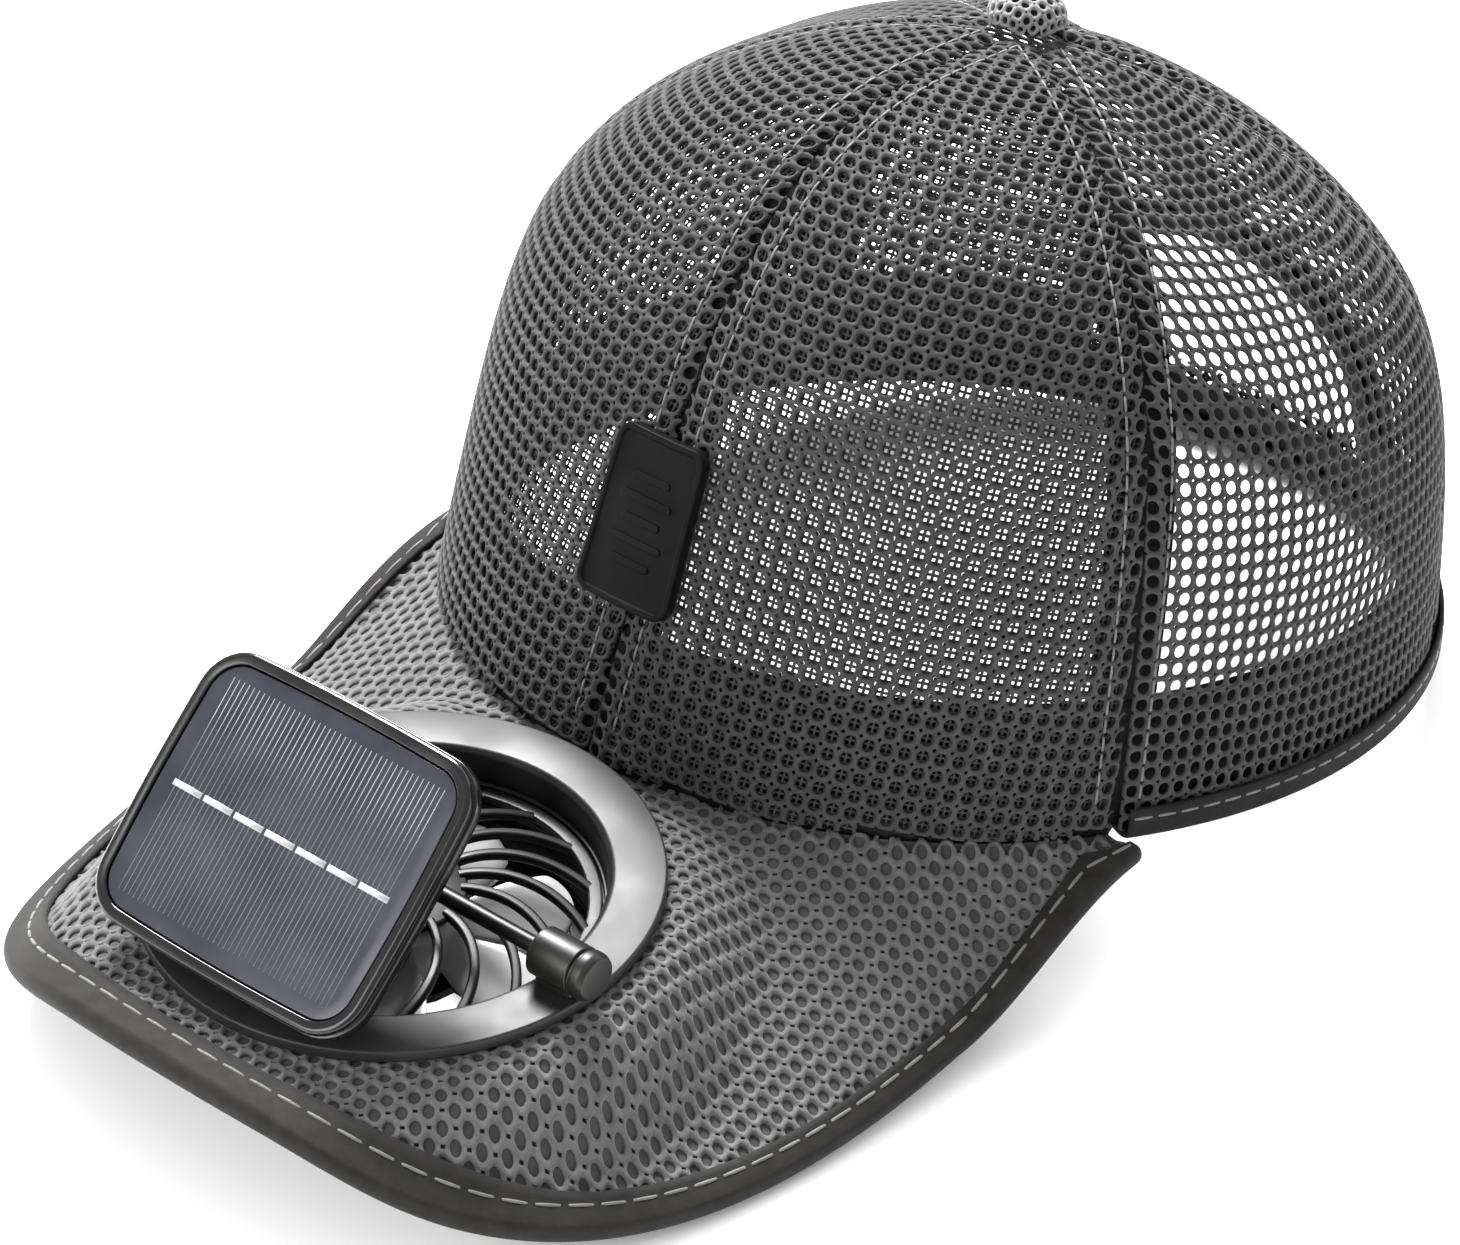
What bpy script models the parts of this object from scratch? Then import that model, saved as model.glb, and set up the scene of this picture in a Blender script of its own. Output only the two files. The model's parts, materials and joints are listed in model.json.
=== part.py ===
"""Fan hat: a six-panel mesh cap with a fan set in its brim and a solar panel that tilts over the fan.

Metres, +Z up. The wearer looks along -Y and their left hand is at +X.
The hat is drawn upright on its rim, then tipped back until brim and rear rim touch the table together.
"""
import math

import bpy
import numpy as np
from mathutils import Vector

MM = 0.001

# The head opening and the crown
RIM_HALF_LENGTH = 103.5 * MM
RIM_HALF_WIDTH = 87.6 * MM
RIM_REAR_DROP = 4.7 * MM
CROWN_HEIGHT = 109.0 * MM
CROWN_WAIST = 0.023
PANEL_WALL = 2.0 * MM
PANEL_COUNT = 6
SEAM_GAP = 0.4 * MM
CROWN_TOP_HOLE = 6.0 * MM
PANEL_ROWS = 11
PANEL_COLUMNS = 9
# How a meridian bends from the rim to the button: powers of its rise and of its run inwards
CROWN_BEND = {
    "front": {"rise": 1.2, "run": 4.1},
    "side": {"rise": 3.5, "run": 1.55},
    "rear": {"rise": 1.25, "run": 1.75},
}

# Clearances between pieces that touch on the real hat
FIT = 0.3 * MM
CLOTH_FIT = 0.5 * MM

# Trim of the crown
BUTTON_RADIUS = 7.2 * MM
BUTTON_HEIGHT = 6.4 * MM
BUTTON_LIFT = 0.5 * MM
BAND_HEIGHT = 24.0 * MM
BAND_LIFT = 1.2 * MM
BAND_WALL = 1.5 * MM
TAPE_WIDTH = 13.0 * MM
TAPE_WALL = 1.0 * MM
BINDING_WALL = 1.0 * MM
RIM_BINDING_HEIGHT = 4.6 * MM
RIM_BINDING_START = math.radians(62.6)
ARCH_HALF_WIDTH = 35.0 * MM
ARCH_BOTTOM = 10.0 * MM
ARCH_TOP = 48.5 * MM
ARCH_BINDING_REACH = 4.0 * MM
ARCH_FOOT = 1.5 * MM
ARCH_STEPS = 11
ARCH_CUT_DEPTH = 6.0 * MM
ARCH_CUT_RISE = 18.0 * MM
LABEL_WIDTH = 21.0 * MM
LABEL_LENGTH = 30.5 * MM
LABEL_CORNER = 3.0 * MM
LABEL_THICKNESS = 2.6 * MM
LABEL_LIP_WIDTH = 1.1 * MM
LABEL_LIP_HEIGHT = 0.5 * MM
LABEL_CENTRE = 43.0 * MM

# The brim, seen from above, and how it falls away from the rim
BRIM_REACH = 99.2 * MM
BRIM_HALF_WIDTH = 79.0 * MM
BRIM_ROUNDNESS = 3.0
BRIM_WALL = 3.2 * MM
BRIM_SEAM_GAP = 0.75 * MM
BRIM_SEAM_ANGLE = math.radians(60.0)
BRIM_END_ANGLE = math.radians(61.6)
BRIM_FALL = 0.23
BRIM_UPTURN = 6.2 * MM
BRIM_SIDE_DROP = 34.5 * MM
BRIM_SIDE_TWIST = 0.23
BRIM_SPAN = 90.0 * MM
BRIM_END_BLEND = 0.3
BRIM_END_SHARE = 0.35
BRIM_BINDING_REACH = 5.0 * MM
BRIM_BINDING_CORNER = 0.8 * MM
BRIM_ROWS = 8
BRIM_EDGE_STEP = 0.06
BRIM_COLUMNS = 35

# The fan unit, in its own frame: Z out of the brim, Y towards the crown
FAN_FORWARD = 44.8 * MM
FAN_DEPTH = 7.9 * MM
FAN_SLOPE = math.radians(10.3)
FAN_FLAT_EASE = 18.0 * MM
FAN_RIM_EASE = 10.0 * MM
FLANGE_RADIUS = 44.0 * MM
FLANGE_TOP = 2.6 * MM
MOUTH_RADIUS = 34.2 * MM
BEZEL_WALL = 2.4 * MM
BEZEL_DEPTH = 5.5 * MM
BARREL_RADIUS = MOUTH_RADIUS + BEZEL_WALL
HOUSING_DEPTH = 16.6 * MM
HOUSING_WALL = 1.6 * MM
HOUSING_FLOOR = 5.1 * MM
GUARD_LEDGE = 0.8 * MM
GUARD_RING_RADIUS = MOUTH_RADIUS - GUARD_LEDGE - FIT
GUARD_RING_WIDTH = 2.4 * MM
GUARD_RING_HEIGHT = 1.7 * MM
GUARD_SEAT = 2.1 * MM
HOUSING_LIP = GUARD_RING_RADIUS - GUARD_SEAT
GUARD_CAP_RADIUS = 11.0 * MM
GUARD_CAP_TOP = 0.4 * MM
GUARD_CAP_WALL = 2.2 * MM
GUARD_CAP_EDGE = 1.0 * MM
RIB_COUNT = 18
RIB_SECTIONS = 4
RIB_WIDTH = 1.5 * MM
RIB_HEIGHT = 1.7 * MM
RIB_ROOT = 1.2 * MM
RIB_SWEEP = math.radians(34.0)
GRILLE_RADIUS = BARREL_RADIUS - HOUSING_FLOOR
GRILLE_WALL = 1.5 * MM
GRILLE_BAR = 2.2 * MM
# The back grille's slots: their reach as shares of its radius, and how many there are
GRILLE_RINGS = {
    "inner": {"from": 0.365, "to": 0.587, "slots": 8},
    "outer": {"from": 0.667, "to": 0.889, "slots": 12},
}
HUB_TOP = 4.2 * MM
HUB_BOTTOM = 13.0 * MM
HUB_WALL = 1.2 * MM
HUB_CROWN = 2.2 * MM
MOTOR_GAP = 0.5 * MM
MOTOR_RADIUS = 8.0 * MM
MOTOR_TOP = HUB_TOP + HUB_CROWN + MOTOR_GAP
SPINDLE_RADIUS = 1.1 * MM
SPINDLE_COVER = 1.0 * MM
HUB_RADIUS = MOTOR_RADIUS + MOTOR_GAP + HUB_WALL
BLADE_COUNT = 7
BLADE_CLEARANCE = 2.5 * MM
BLADE_TIP = HOUSING_LIP - BLADE_CLEARANCE
BLADE_CHORD = 12.5 * MM
BLADE_WALL = 1.2 * MM
BLADE_MIDDLE = 9.4 * MM
# A blade's sections: share of its span, share of its chord, and pitch in degrees
BLADE_SECTIONS = {
    "root": {"span": 0.0, "chord": 0.44, "pitch": 40.0},
    "inner": {"span": 0.26, "chord": 0.72, "pitch": 36.0},
    "middle": {"span": 0.56, "chord": 0.96, "pitch": 30.0},
    "outer": {"span": 0.85, "chord": 1.0, "pitch": 25.0},
    "tip": {"span": 1.0, "chord": 0.6, "pitch": 22.0},
}

# The solar panel and the hinge that carries it, about the shaft
HINGE_FORWARD = 3.5 * MM
HINGE_BARREL_RADIUS = 4.25 * MM
HINGE_BARREL_INNER = MOUTH_RADIUS + FIT
HINGE_OVERHANG = 2.2 * MM
HINGE_BARREL_OUTER = FLANGE_RADIUS + HINGE_OVERHANG
HINGE_GROOVE = 0.5 * MM
HINGE_END = 1.0 * MM
HINGE_FOOT_WIDTH = 6.0 * MM
SHAFT_RADIUS = 1.5 * MM
SHAFT_SEAT = 7.5 * MM
SHAFT_REACH = HINGE_BARREL_INNER + SHAFT_SEAT
ARM_WIDTH = 10.0 * MM
ARM_WALL = 3.6 * MM
ARM_BOSS_RADIUS = 3.6 * MM
PANEL_TILT = math.radians(41.0)
PANEL_STANDOFF = 18.8 * MM
PANEL_OFFSET_SIDE = -3.0 * MM
PANEL_OFFSET_FRONT = 4.7 * MM
FRAME_WIDTH = 58.0 * MM
FRAME_LENGTH = 49.0 * MM
FRAME_THICKNESS = 7.0 * MM
FRAME_CORNER = 8.0 * MM
FRAME_BOW = 0.7 * MM
FRAME_LIP = 2.4 * MM
CELL_RECESS = 1.4 * MM
CELL_THICKNESS = 0.8 * MM

# How finely round pieces are divided, and the small bevels on their edges
ROUND_STEPS = 30
MIDDLE_STEPS = 16
SMALL_STEPS = 12
EDGE_BEVEL = 0.6 * MM


def clear_scene():
    """Remove what the scene holds."""
    for obj in list(bpy.data.objects):
        bpy.data.objects.remove(obj, do_unlink=True)


def make_collection(name):
    """A collection under the scene's own."""
    group = bpy.data.collections.new(name)
    bpy.context.scene.collection.children.link(group)
    return group


def make_material(name, colour, roughness, metallic=0.0):
    """A Principled material of one colour."""
    material = bpy.data.materials.new(name)
    material.use_nodes = True
    shader = material.node_tree.nodes["Principled BSDF"]
    shader.inputs["Base Color"].default_value = (*colour, 1.0)
    shader.inputs["Roughness"].default_value = roughness
    shader.inputs["Metallic"].default_value = metallic
    material.diffuse_color = (*colour, 1.0)
    return material


def add_mesh(name, points, faces, material, group, parent, smooth=True):
    """A mesh object from points and faces, with its material, group and parent."""
    mesh = bpy.data.meshes.new(name)
    mesh.from_pydata([tuple(point) for point in points], [], faces)
    mesh.update()
    if smooth:
        mesh.shade_smooth()
        mesh.set_sharp_from_angle(angle=math.radians(35))
    mesh.materials.append(material)
    obj = bpy.data.objects.new(name, mesh)
    obj.parent = parent
    group.objects.link(obj)
    return obj


def add_empty(name, group, parent=None):
    """An empty that carries other objects."""
    empty = bpy.data.objects.new(name, None)
    empty.empty_display_size = 0.02
    empty.parent = parent
    group.objects.link(empty)
    return empty


def grid_faces(rows, columns, closed=False):
    """Quads over rows of points; closed joins the last column to the first."""
    last = columns if closed else columns - 1
    return [
        (r * columns + c, r * columns + (c + 1) % columns,
         (r + 1) * columns + (c + 1) % columns, (r + 1) * columns + c)
        for r in range(rows - 1) for c in range(last)
    ]


def solidify(obj, thickness, offset=-1.0):
    """Give an open surface its wall; offset -1 grows it behind the surface."""
    wall = obj.modifiers.new("wall", "SOLIDIFY")
    wall.thickness = thickness
    wall.offset = offset
    wall.use_even_offset = True
    wall.use_quality_normals = True
    return wall


def turn(name, profile, material, group, parent, steps=ROUND_STEPS, closed=True):
    """A turned piece: a profile of (radius, height), down its outer side, swept about Z."""
    count = len(profile)
    edges = [(i, (i + 1) % count) for i in range(count if closed else count - 1)]
    mesh = bpy.data.meshes.new(name)
    mesh.from_pydata([(radius, 0.0, height) for radius, height in profile], edges, [])
    mesh.materials.append(material)
    obj = bpy.data.objects.new(name, mesh)
    obj.parent = parent
    group.objects.link(obj)
    screw = obj.modifiers.new("turn", "SCREW")
    screw.steps = steps
    screw.render_steps = steps
    screw.use_merge_vertices = True
    screw.merge_threshold = 0.00001
    screw.use_smooth_shade = True
    return obj


def boolean(obj, operand, operation):
    """Join or cut with another object."""
    step = obj.modifiers.new(operation.lower(), "BOOLEAN")
    step.operation = operation
    step.solver = "EXACT"
    step.object = operand


def as_cutter(obj):
    """Hide a shape that only cuts or joins another."""
    obj.hide_render = True
    obj.display_type = "WIRE"
    return obj


def rim_height(angle):
    """The rim's height: level with the brim in front, lower at the rear."""
    return -RIM_REAR_DROP * (1.0 - math.cos(angle)) / 2.0


def crown_meridian(angle, count=240):
    """One meridian from the rim to the pole, and its length measured along it.

    A superellipse: run = cos(t)^(2/run power), rise = sin(t)^(2/rise power), whose powers blend
    from front to side to rear, narrowed a little at the waist.
    """
    blend = {
        "front": max(math.cos(angle), 0.0) ** 2,
        "rear": max(-math.cos(angle), 0.0) ** 2,
        "side": math.sin(angle) ** 2,
    }
    rise_power = sum(share * CROWN_BEND[key]["rise"] for key, share in blend.items())
    run_power = sum(share * CROWN_BEND[key]["run"] for key, share in blend.items())
    turn_angle = math.pi / 2 * (1.0 - (1.0 - np.linspace(0.0, 1.0, count)) ** 3)
    run = np.maximum(np.cos(turn_angle), 0.0) ** (2.0 / run_power)
    rise = np.sin(turn_angle) ** (2.0 / rise_power)
    run = run * (1.0 - CROWN_WAIST * np.sin(math.pi * np.minimum(1.6 * rise, 1.0)))
    points = np.stack([
        RIM_HALF_WIDTH * math.sin(angle) * run,
        -RIM_HALF_LENGTH * math.cos(angle) * run,
        rim_height(angle) * (1.0 - rise) + CROWN_HEIGHT * rise,
    ], axis=1)
    steps = np.linalg.norm(np.diff(points, axis=0), axis=1)
    return points, np.concatenate([[0.0], np.cumsum(steps)])


def crown_point(angle, climb):
    """A point of the crown's outer face, climb metres up the meridian at an angle from the front."""
    points, lengths = crown_meridian(angle)
    return np.array([np.interp(climb, lengths, points[:, axis]) for axis in range(3)])


def crown_offset(angle, climb, depth):
    """A point depth metres inside the crown's outer face, along the face's normal."""
    turn_step, climb_step = math.radians(1.0), 1.5 * MM
    low = max(climb - climb_step, 0.0)
    across = crown_point(angle + turn_step, climb) - crown_point(angle - turn_step, climb)
    upward = crown_point(angle, climb + climb_step) - crown_point(angle, low)
    normal = np.cross(across, upward)
    return crown_point(angle, climb) - depth * normal / np.linalg.norm(normal)


def meridian_length(angle):
    """The meridian's whole length, from the rim to the pole."""
    return crown_meridian(angle)[1][-1]


def crown_patch(angle_from, angle_to, climb_from, top_hole, side_gap, depth, rows, columns):
    """Points of a gore between two meridians, with a gap along both its sides."""
    points = []
    for row in np.linspace(0.0, 1.0, rows):
        for share in np.linspace(0.0, 1.0, columns):
            angle = angle_from + (angle_to - angle_from) * share
            climb = climb_from + (meridian_length(angle) - top_hole - climb_from) * row
            radius = math.hypot(*crown_point(angle, climb)[:2])
            inset = side_gap / 2.0 / radius * (1.0 - 2.0 * share)
            points.append(crown_offset(angle + inset, climb, depth))
    return points


def panel_angles(first, last):
    """The angles of the panels' columns between two angles, with both ends."""
    step = 2.0 * math.pi / PANEL_COUNT / (PANEL_COLUMNS - 1)
    inside = [i * step for i in range(int(2.0 * math.pi / step) + 1)]
    return [first] + [angle for angle in inside if first + step / 4 < angle < last - step / 4] + [last]


def rear_spot(across, height):
    """The angle and climb of the rear wall's point at a distance from its middle and a height."""
    angles = np.linspace(math.radians(120.0), math.radians(240.0), 61)
    rows = []
    for angle in angles:
        points, lengths = crown_meridian(angle)
        rows.append([np.interp(height, points[:, 2], values) for values in (points[:, 0], lengths)])
    sideways, climbs = np.array(rows).T
    angle = np.interp(-across, -sideways, angles)
    return angle, np.interp(angle, angles, climbs)


def arch_outline(grow):
    """The rear opening's edge as (across, height), a half ellipse grown by a little, from left to right."""
    return [
        ((ARCH_HALF_WIDTH + grow) * math.cos(turn_angle),
         ARCH_BOTTOM + (ARCH_TOP - ARCH_BOTTOM + grow) * math.sin(turn_angle))
        for turn_angle in np.linspace(0.0, math.pi, ARCH_STEPS)
    ]


def make_arch_cutter(name, grow, cloth, group, parent):
    """A block that goes square through the curved rear wall, outlined as the opening over the strap."""
    arch = arch_outline(grow)
    foot = ARCH_BOTTOM - ARCH_FOOT
    outline = arch + [(x, foot) for x in np.linspace(arch[-1][0], arch[0][0], ARCH_STEPS)]
    count = len(outline)
    points = [crown_offset(*rear_spot(x, z), depth)
              for depth in (PANEL_WALL + ARCH_CUT_DEPTH, -ARCH_CUT_RISE) for x, z in outline]
    faces = [(i, (i + 1) % count, (i + 1) % count + count, i + count) for i in range(count)]
    faces.append(tuple(reversed(range(count))))
    faces.append(tuple(range(count, 2 * count)))
    faces = [face[::-1] for face in faces]
    cutter = add_mesh(name, points, faces, cloth, group, parent, smooth=False)
    return as_cutter(cutter)


def make_arch_binding(tape_cloth, group, parent):
    """A folded tape round the curved edge of the rear opening."""
    path = channel_path(ARCH_BINDING_REACH, PANEL_WALL + CLOTH_FIT, BINDING_WALL)
    points = []
    for reach, height in path:
        points += [crown_offset(*rear_spot(x, z), -height) for x, z in arch_outline(-reach)]
    faces = grid_faces(len(path), ARCH_STEPS)
    binding = add_mesh("arch_binding", points, faces, tape_cloth, group, parent)
    solidify(binding, BINDING_WALL, offset=0.0)


def make_crown_panels(cloth, group, parent, cutters):
    """Six gores of mesh cloth that meet at the seams; the rear two are cut away over the closing strap."""
    opening = make_arch_cutter("panel_opening", 0.0, cloth, cutters, parent)
    names = ["front_left", "side_left", "rear_left", "rear_right", "side_right", "front_right"]
    width = 2.0 * math.pi / PANEL_COUNT
    for index, name in enumerate(names):
        points = crown_patch(index * width, (index + 1) * width, 0.0, CROWN_TOP_HOLE,
                             SEAM_GAP, 0.0, PANEL_ROWS, PANEL_COLUMNS)
        panel = add_mesh("crown_panel_" + name, points, grid_faces(PANEL_ROWS, PANEL_COLUMNS),
                         cloth, group, parent)
        solidify(panel, PANEL_WALL)
        if name.startswith("rear"):
            boolean(panel, opening, "DIFFERENCE")


def make_seam_tapes(tape_cloth, group, parent):
    """Tapes over the seams inside, on the panels' own rows, from the sweatband to near the button."""
    names = ["front", "front_left", "rear_left", "rear", "rear_right", "front_right"]
    columns = 3
    for index, name in enumerate(names):
        seam = index * 2.0 * math.pi / PANEL_COUNT
        climbs = np.linspace(0.0, meridian_length(seam) - CROWN_TOP_HOLE, PANEL_ROWS)
        first = BAND_HEIGHT + FIT
        if name == "rear":
            first = rear_spot(0.0, ARCH_TOP + ARCH_BINDING_REACH + FIT)[1] + FIT
        climbs = [first] + [climb for climb in climbs[:-1] if climb > first + climbs[1] / 2.0]
        points = []
        for climb in climbs:
            radius = math.hypot(*crown_point(seam, climb)[:2])
            for side in np.linspace(-1.0, 1.0, columns):
                angle = seam + math.asin(min(side * TAPE_WIDTH / 2.0 / radius, 0.6))
                points.append(crown_offset(angle, climb, PANEL_WALL + CLOTH_FIT))
        tape = add_mesh("seam_tape_" + name, points, grid_faces(len(climbs), columns),
                        tape_cloth, group, parent)
        solidify(tape, TAPE_WALL)


def make_sweatband(band_cloth, group, parent, cutters):
    """The band inside the rim that sits on the head, low behind the rear opening's binding."""
    angles = panel_angles(0.0, 2.0 * math.pi)[:-1]
    points = []
    for row in range(3):
        for angle in angles:
            first_row = (meridian_length(angle) - CROWN_TOP_HOLE) / (PANEL_ROWS - 1)
            climb = (BAND_LIFT, first_row, BAND_HEIGHT)[row]
            points.append(crown_offset(angle, climb, PANEL_WALL + CLOTH_FIT))
    band = add_mesh("sweatband", points, grid_faces(3, len(angles), closed=True), band_cloth, group, parent)
    solidify(band, BAND_WALL)
    clear = ARCH_BINDING_REACH + CLOTH_FIT
    boolean(band, make_arch_cutter("band_opening", clear, band_cloth, cutters, parent), "DIFFERENCE")


def make_top_button(cloth, group, parent):
    """The covered button over the pole."""
    base = CROWN_HEIGHT + BUTTON_LIFT
    arc = np.linspace(math.pi / 2, 0.0, 6)
    profile = [
        (BUTTON_RADIUS * math.cos(a) ** 0.7, base + BUTTON_HEIGHT * (0.22 + 0.78 * math.sin(a)))
        for a in arc
    ]
    profile[0] = (0.0, base + BUTTON_HEIGHT)
    profile.append((BUTTON_RADIUS * 0.9, base))
    profile.append((0.0, base))
    turn("top_button", profile, cloth, group, parent, MIDDLE_STEPS, closed=False)


def channel_path(leg, inner_depth, wall, corner=0.0):
    """The middle line of a U channel over an edge: rows of (reach outwards, height), bottom leg first.

    The edge is inner_depth thick, its upper face at height 0 and its end at reach 0. The channel's
    corners are square, or cut off by corner.
    """
    out = CLOTH_FIT + wall / 2.0
    top, bottom = out, -inner_depth - out
    if corner > 0.0:
        return [
            (-leg, bottom), (out - corner, bottom), (out, bottom + corner),
            (out, top - corner), (out - corner, top), (-leg, top),
        ]
    return [(-leg, bottom), (out, bottom), (out, top), (-leg, top)]


def make_rim_binding(tape_cloth, group, parent):
    """A folded tape over the rear rim: it holds the panels and the sweatband together."""
    angles = panel_angles(RIM_BINDING_START, 2.0 * math.pi - RIM_BINDING_START)
    stack = PANEL_WALL + CLOTH_FIT + BAND_WALL
    path = channel_path(RIM_BINDING_HEIGHT, stack, BINDING_WALL)
    points = []
    for reach, height in reversed(path):
        for angle in angles:
            foot = crown_offset(angle, max(-reach, 0.0), -height)
            points.append(foot - np.array([0.0, 0.0, max(reach, 0.0)]))
    faces = [face[::-1] for face in grid_faces(len(path), len(angles))]
    binding = add_mesh("rim_binding", points, faces, tape_cloth, group, parent)
    solidify(binding, BINDING_WALL, offset=0.0)


def brim_outline(count=160):
    """The brim's edge seen from above, a superellipse, from the wearer's right round to their left.

    Columns are x, y and how far ahead of the brim's ends the point lies, as a share of its reach.
    """
    ease = np.sin(np.linspace(0.0, math.pi / 2, count)) ** 2 * math.pi / 2
    power = 2.0 / BRIM_ROUNDNESS
    aside = BRIM_HALF_WIDTH * np.abs(np.cos(ease)) ** power
    ahead = np.abs(np.sin(ease)) ** power
    end = -RIM_HALF_LENGTH * math.cos(BRIM_END_ANGLE)
    forward = end - (BRIM_REACH + RIM_HALF_LENGTH + end) * ahead
    right = np.stack([-aside, forward, ahead], axis=1)
    left = np.stack([aside, forward, ahead], axis=1)[::-1]
    return np.concatenate([right, left[1:]])


def brim_outer_edge(share):
    """The point of the brim's outer edge at a share of its length, and its height."""
    outline = brim_outline()
    lengths = np.concatenate([[0.0], np.cumsum(np.linalg.norm(np.diff(outline[:, :2], axis=0), axis=1))])
    x, y, ahead = (np.interp(share * lengths[-1], lengths, outline[:, axis]) for axis in range(3))
    forward = -y - RIM_HALF_LENGTH
    fall = BRIM_FALL * forward - BRIM_UPTURN * (forward / BRIM_SPAN) ** 2
    side = BRIM_SIDE_DROP * (x / BRIM_SPAN) ** 2 * (1.0 + BRIM_SIDE_TWIST * forward / BRIM_SPAN)
    blend = min(ahead / BRIM_END_BLEND, 1.0)
    blend = BRIM_END_SHARE + (1.0 - BRIM_END_SHARE) * blend * blend * (3.0 - 2.0 * blend)
    seam = rim_height(BRIM_SEAM_ANGLE)
    return np.array([x, y, seam + (-fall - side - seam) * blend])


def brim_point(share, reach):
    """A point of the brim's upper face: share from right to left, reach from the crown to the edge.

    It runs from the crown's inner face to the outer edge, falls a little faster near the crown,
    and is pressed flat round the fan.
    """
    angle = BRIM_SEAM_ANGLE * (2.0 * share - 1.0)
    inner = np.array([
        (RIM_HALF_WIDTH - PANEL_WALL) * math.sin(angle),
        -(RIM_HALF_LENGTH - PANEL_WALL) * math.cos(angle),
        rim_height(angle) - BRIM_SEAM_GAP,
    ])
    outer = brim_outer_edge(share)
    point = inner + (outer - inner) * reach
    point[2] = inner[2] + (outer[2] - inner[2]) * reach ** 0.85
    back = point[1] + RIM_HALF_LENGTH + FAN_FORWARD
    radius = math.hypot(point[0], back)
    flat = min(-FAN_DEPTH + math.tan(FAN_SLOPE) * back, inner[2])
    ease = min(max((radius - FLANGE_RADIUS - 1.0 * MM) / FAN_FLAT_EASE, 0.0), 1.0)
    ease = ease * ease * (3.0 - 2.0 * ease)
    near_rim = min(reach * math.dist(outer, inner) / FAN_RIM_EASE, 1.0)
    near_rim = near_rim * near_rim * (3.0 - 2.0 * near_rim)
    point[2] += (1.0 - ease) * near_rim * (flat - point[2])
    return point


def brim_frame(share):
    """The outer edge's point, its direction outwards and the brim's normal there."""
    step = 0.004
    low, high = max(share - step, 0.0), min(share + step, 1.0)
    along = brim_point(high, 1.0) - brim_point(low, 1.0)
    inwards = brim_point(share, 1.0 - BRIM_EDGE_STEP) - brim_point(share, 1.0)
    normal = np.cross(along, inwards)
    normal /= np.linalg.norm(normal)
    outwards = np.cross(along, normal)
    return brim_point(share, 1.0), outwards / np.linalg.norm(outwards), normal


def binding_reach(share):
    """How far the binding's legs reach over the brim, as a share of its width: less at the narrow ends."""
    width = math.dist(brim_point(share, 1.0), brim_point(share, 0.0))
    room = width - PANEL_WALL - 2.0 * CLOTH_FIT - BINDING_WALL
    return min(BRIM_BINDING_REACH, room) / width


def make_brim(cloth, group, parent, fan_mount, cutters):
    """The stiff, cloth-covered brim with the round hole for the fan; one row lies under the binding's end."""
    shares = np.linspace(0.0, 1.0, BRIM_COLUMNS)
    points = [brim_point(share, 1.0) for share in shares]
    for row in np.linspace(1.0, 0.0, BRIM_ROWS - 1):
        points += [brim_point(share, (1.0 - binding_reach(share)) * row) for share in shares]
    brim = add_mesh("brim", points, grid_faces(BRIM_ROWS, BRIM_COLUMNS), cloth, group, parent)
    solidify(brim, BRIM_WALL)
    radius, depth = BARREL_RADIUS + FIT, HOUSING_DEPTH
    profile = [(0.0, depth), (radius, depth), (radius, -depth), (0.0, -depth)]
    hole = as_cutter(turn("fan_hole", profile, cloth, cutters, fan_mount, closed=False))
    boolean(brim, hole, "DIFFERENCE")


def make_brim_binding(tape_cloth, group, parent):
    """A folded tape over the brim's outer edge."""
    columns = BRIM_COLUMNS
    points = []
    path = channel_path(BRIM_BINDING_REACH, BRIM_WALL, BINDING_WALL, BRIM_BINDING_CORNER)
    for reach, height in path:
        for share in np.linspace(0.0, 1.0, columns):
            _, outwards, normal = brim_frame(share)
            inwards = max(-reach, 0.0) / BRIM_BINDING_REACH
            foot = brim_point(share, 1.0 - binding_reach(share) * inwards)
            points.append(foot + outwards * max(reach, 0.0) + normal * height)
    binding = add_mesh("brim_binding", points, grid_faces(len(path), columns), tape_cloth, group, parent)
    solidify(binding, BINDING_WALL, offset=0.0)


def rounded_outline(width, length, corner, bow, corner_points=4):
    """A rounded rectangle's points, anticlockwise, whose sides bow out a little."""
    points = []
    for quarter in range(4):
        side_x = 1.0 if quarter in (0, 3) else -1.0
        side_y = 1.0 if quarter in (0, 1) else -1.0
        for step in range(corner_points):
            angle = (quarter + step / (corner_points - 1)) * math.pi / 2
            x = side_x * (width / 2 - corner) + corner * math.cos(angle)
            y = side_y * (length / 2 - corner) + corner * math.sin(angle)
            points.append((x + math.copysign(bow, x) * (1.0 - (2.0 * y / length) ** 2),
                           y + math.copysign(bow, y) * (1.0 - (2.0 * x / width) ** 2)))
        if quarter % 2 == 0:
            points.append((0.0, side_y * (length / 2 + bow)))
        else:
            points.append((side_x * (width / 2 + bow), 0.0))
    return points


def plate(name, rings, size, material, group, parent, place=None):
    """A plate of stacked outlines: rings of (inset, height), from the middle below to the middle above."""
    width, length, corner, bow = size
    points, count = [], 0
    for inset, height in rings:
        outline = rounded_outline(width - 2 * inset, length - 2 * inset, max(corner - inset, 0.4 * MM), bow)
        count = len(outline)
        points += [(x, y, height) for x, y in outline]
    faces = grid_faces(len(rings), count, closed=True)
    bottom, top = len(points), len(points) + 1
    points += [(0.0, 0.0, rings[0][1]), (0.0, 0.0, rings[-1][1])]
    last = (len(rings) - 1) * count
    faces += [(bottom, (i + 1) % count, i) for i in range(count)]
    faces += [(top, last + i, last + (i + 1) % count) for i in range(count)]
    if place is not None:
        points = [place(*point) for point in points]
    return add_mesh(name, points, faces, material, group, parent)


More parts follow.
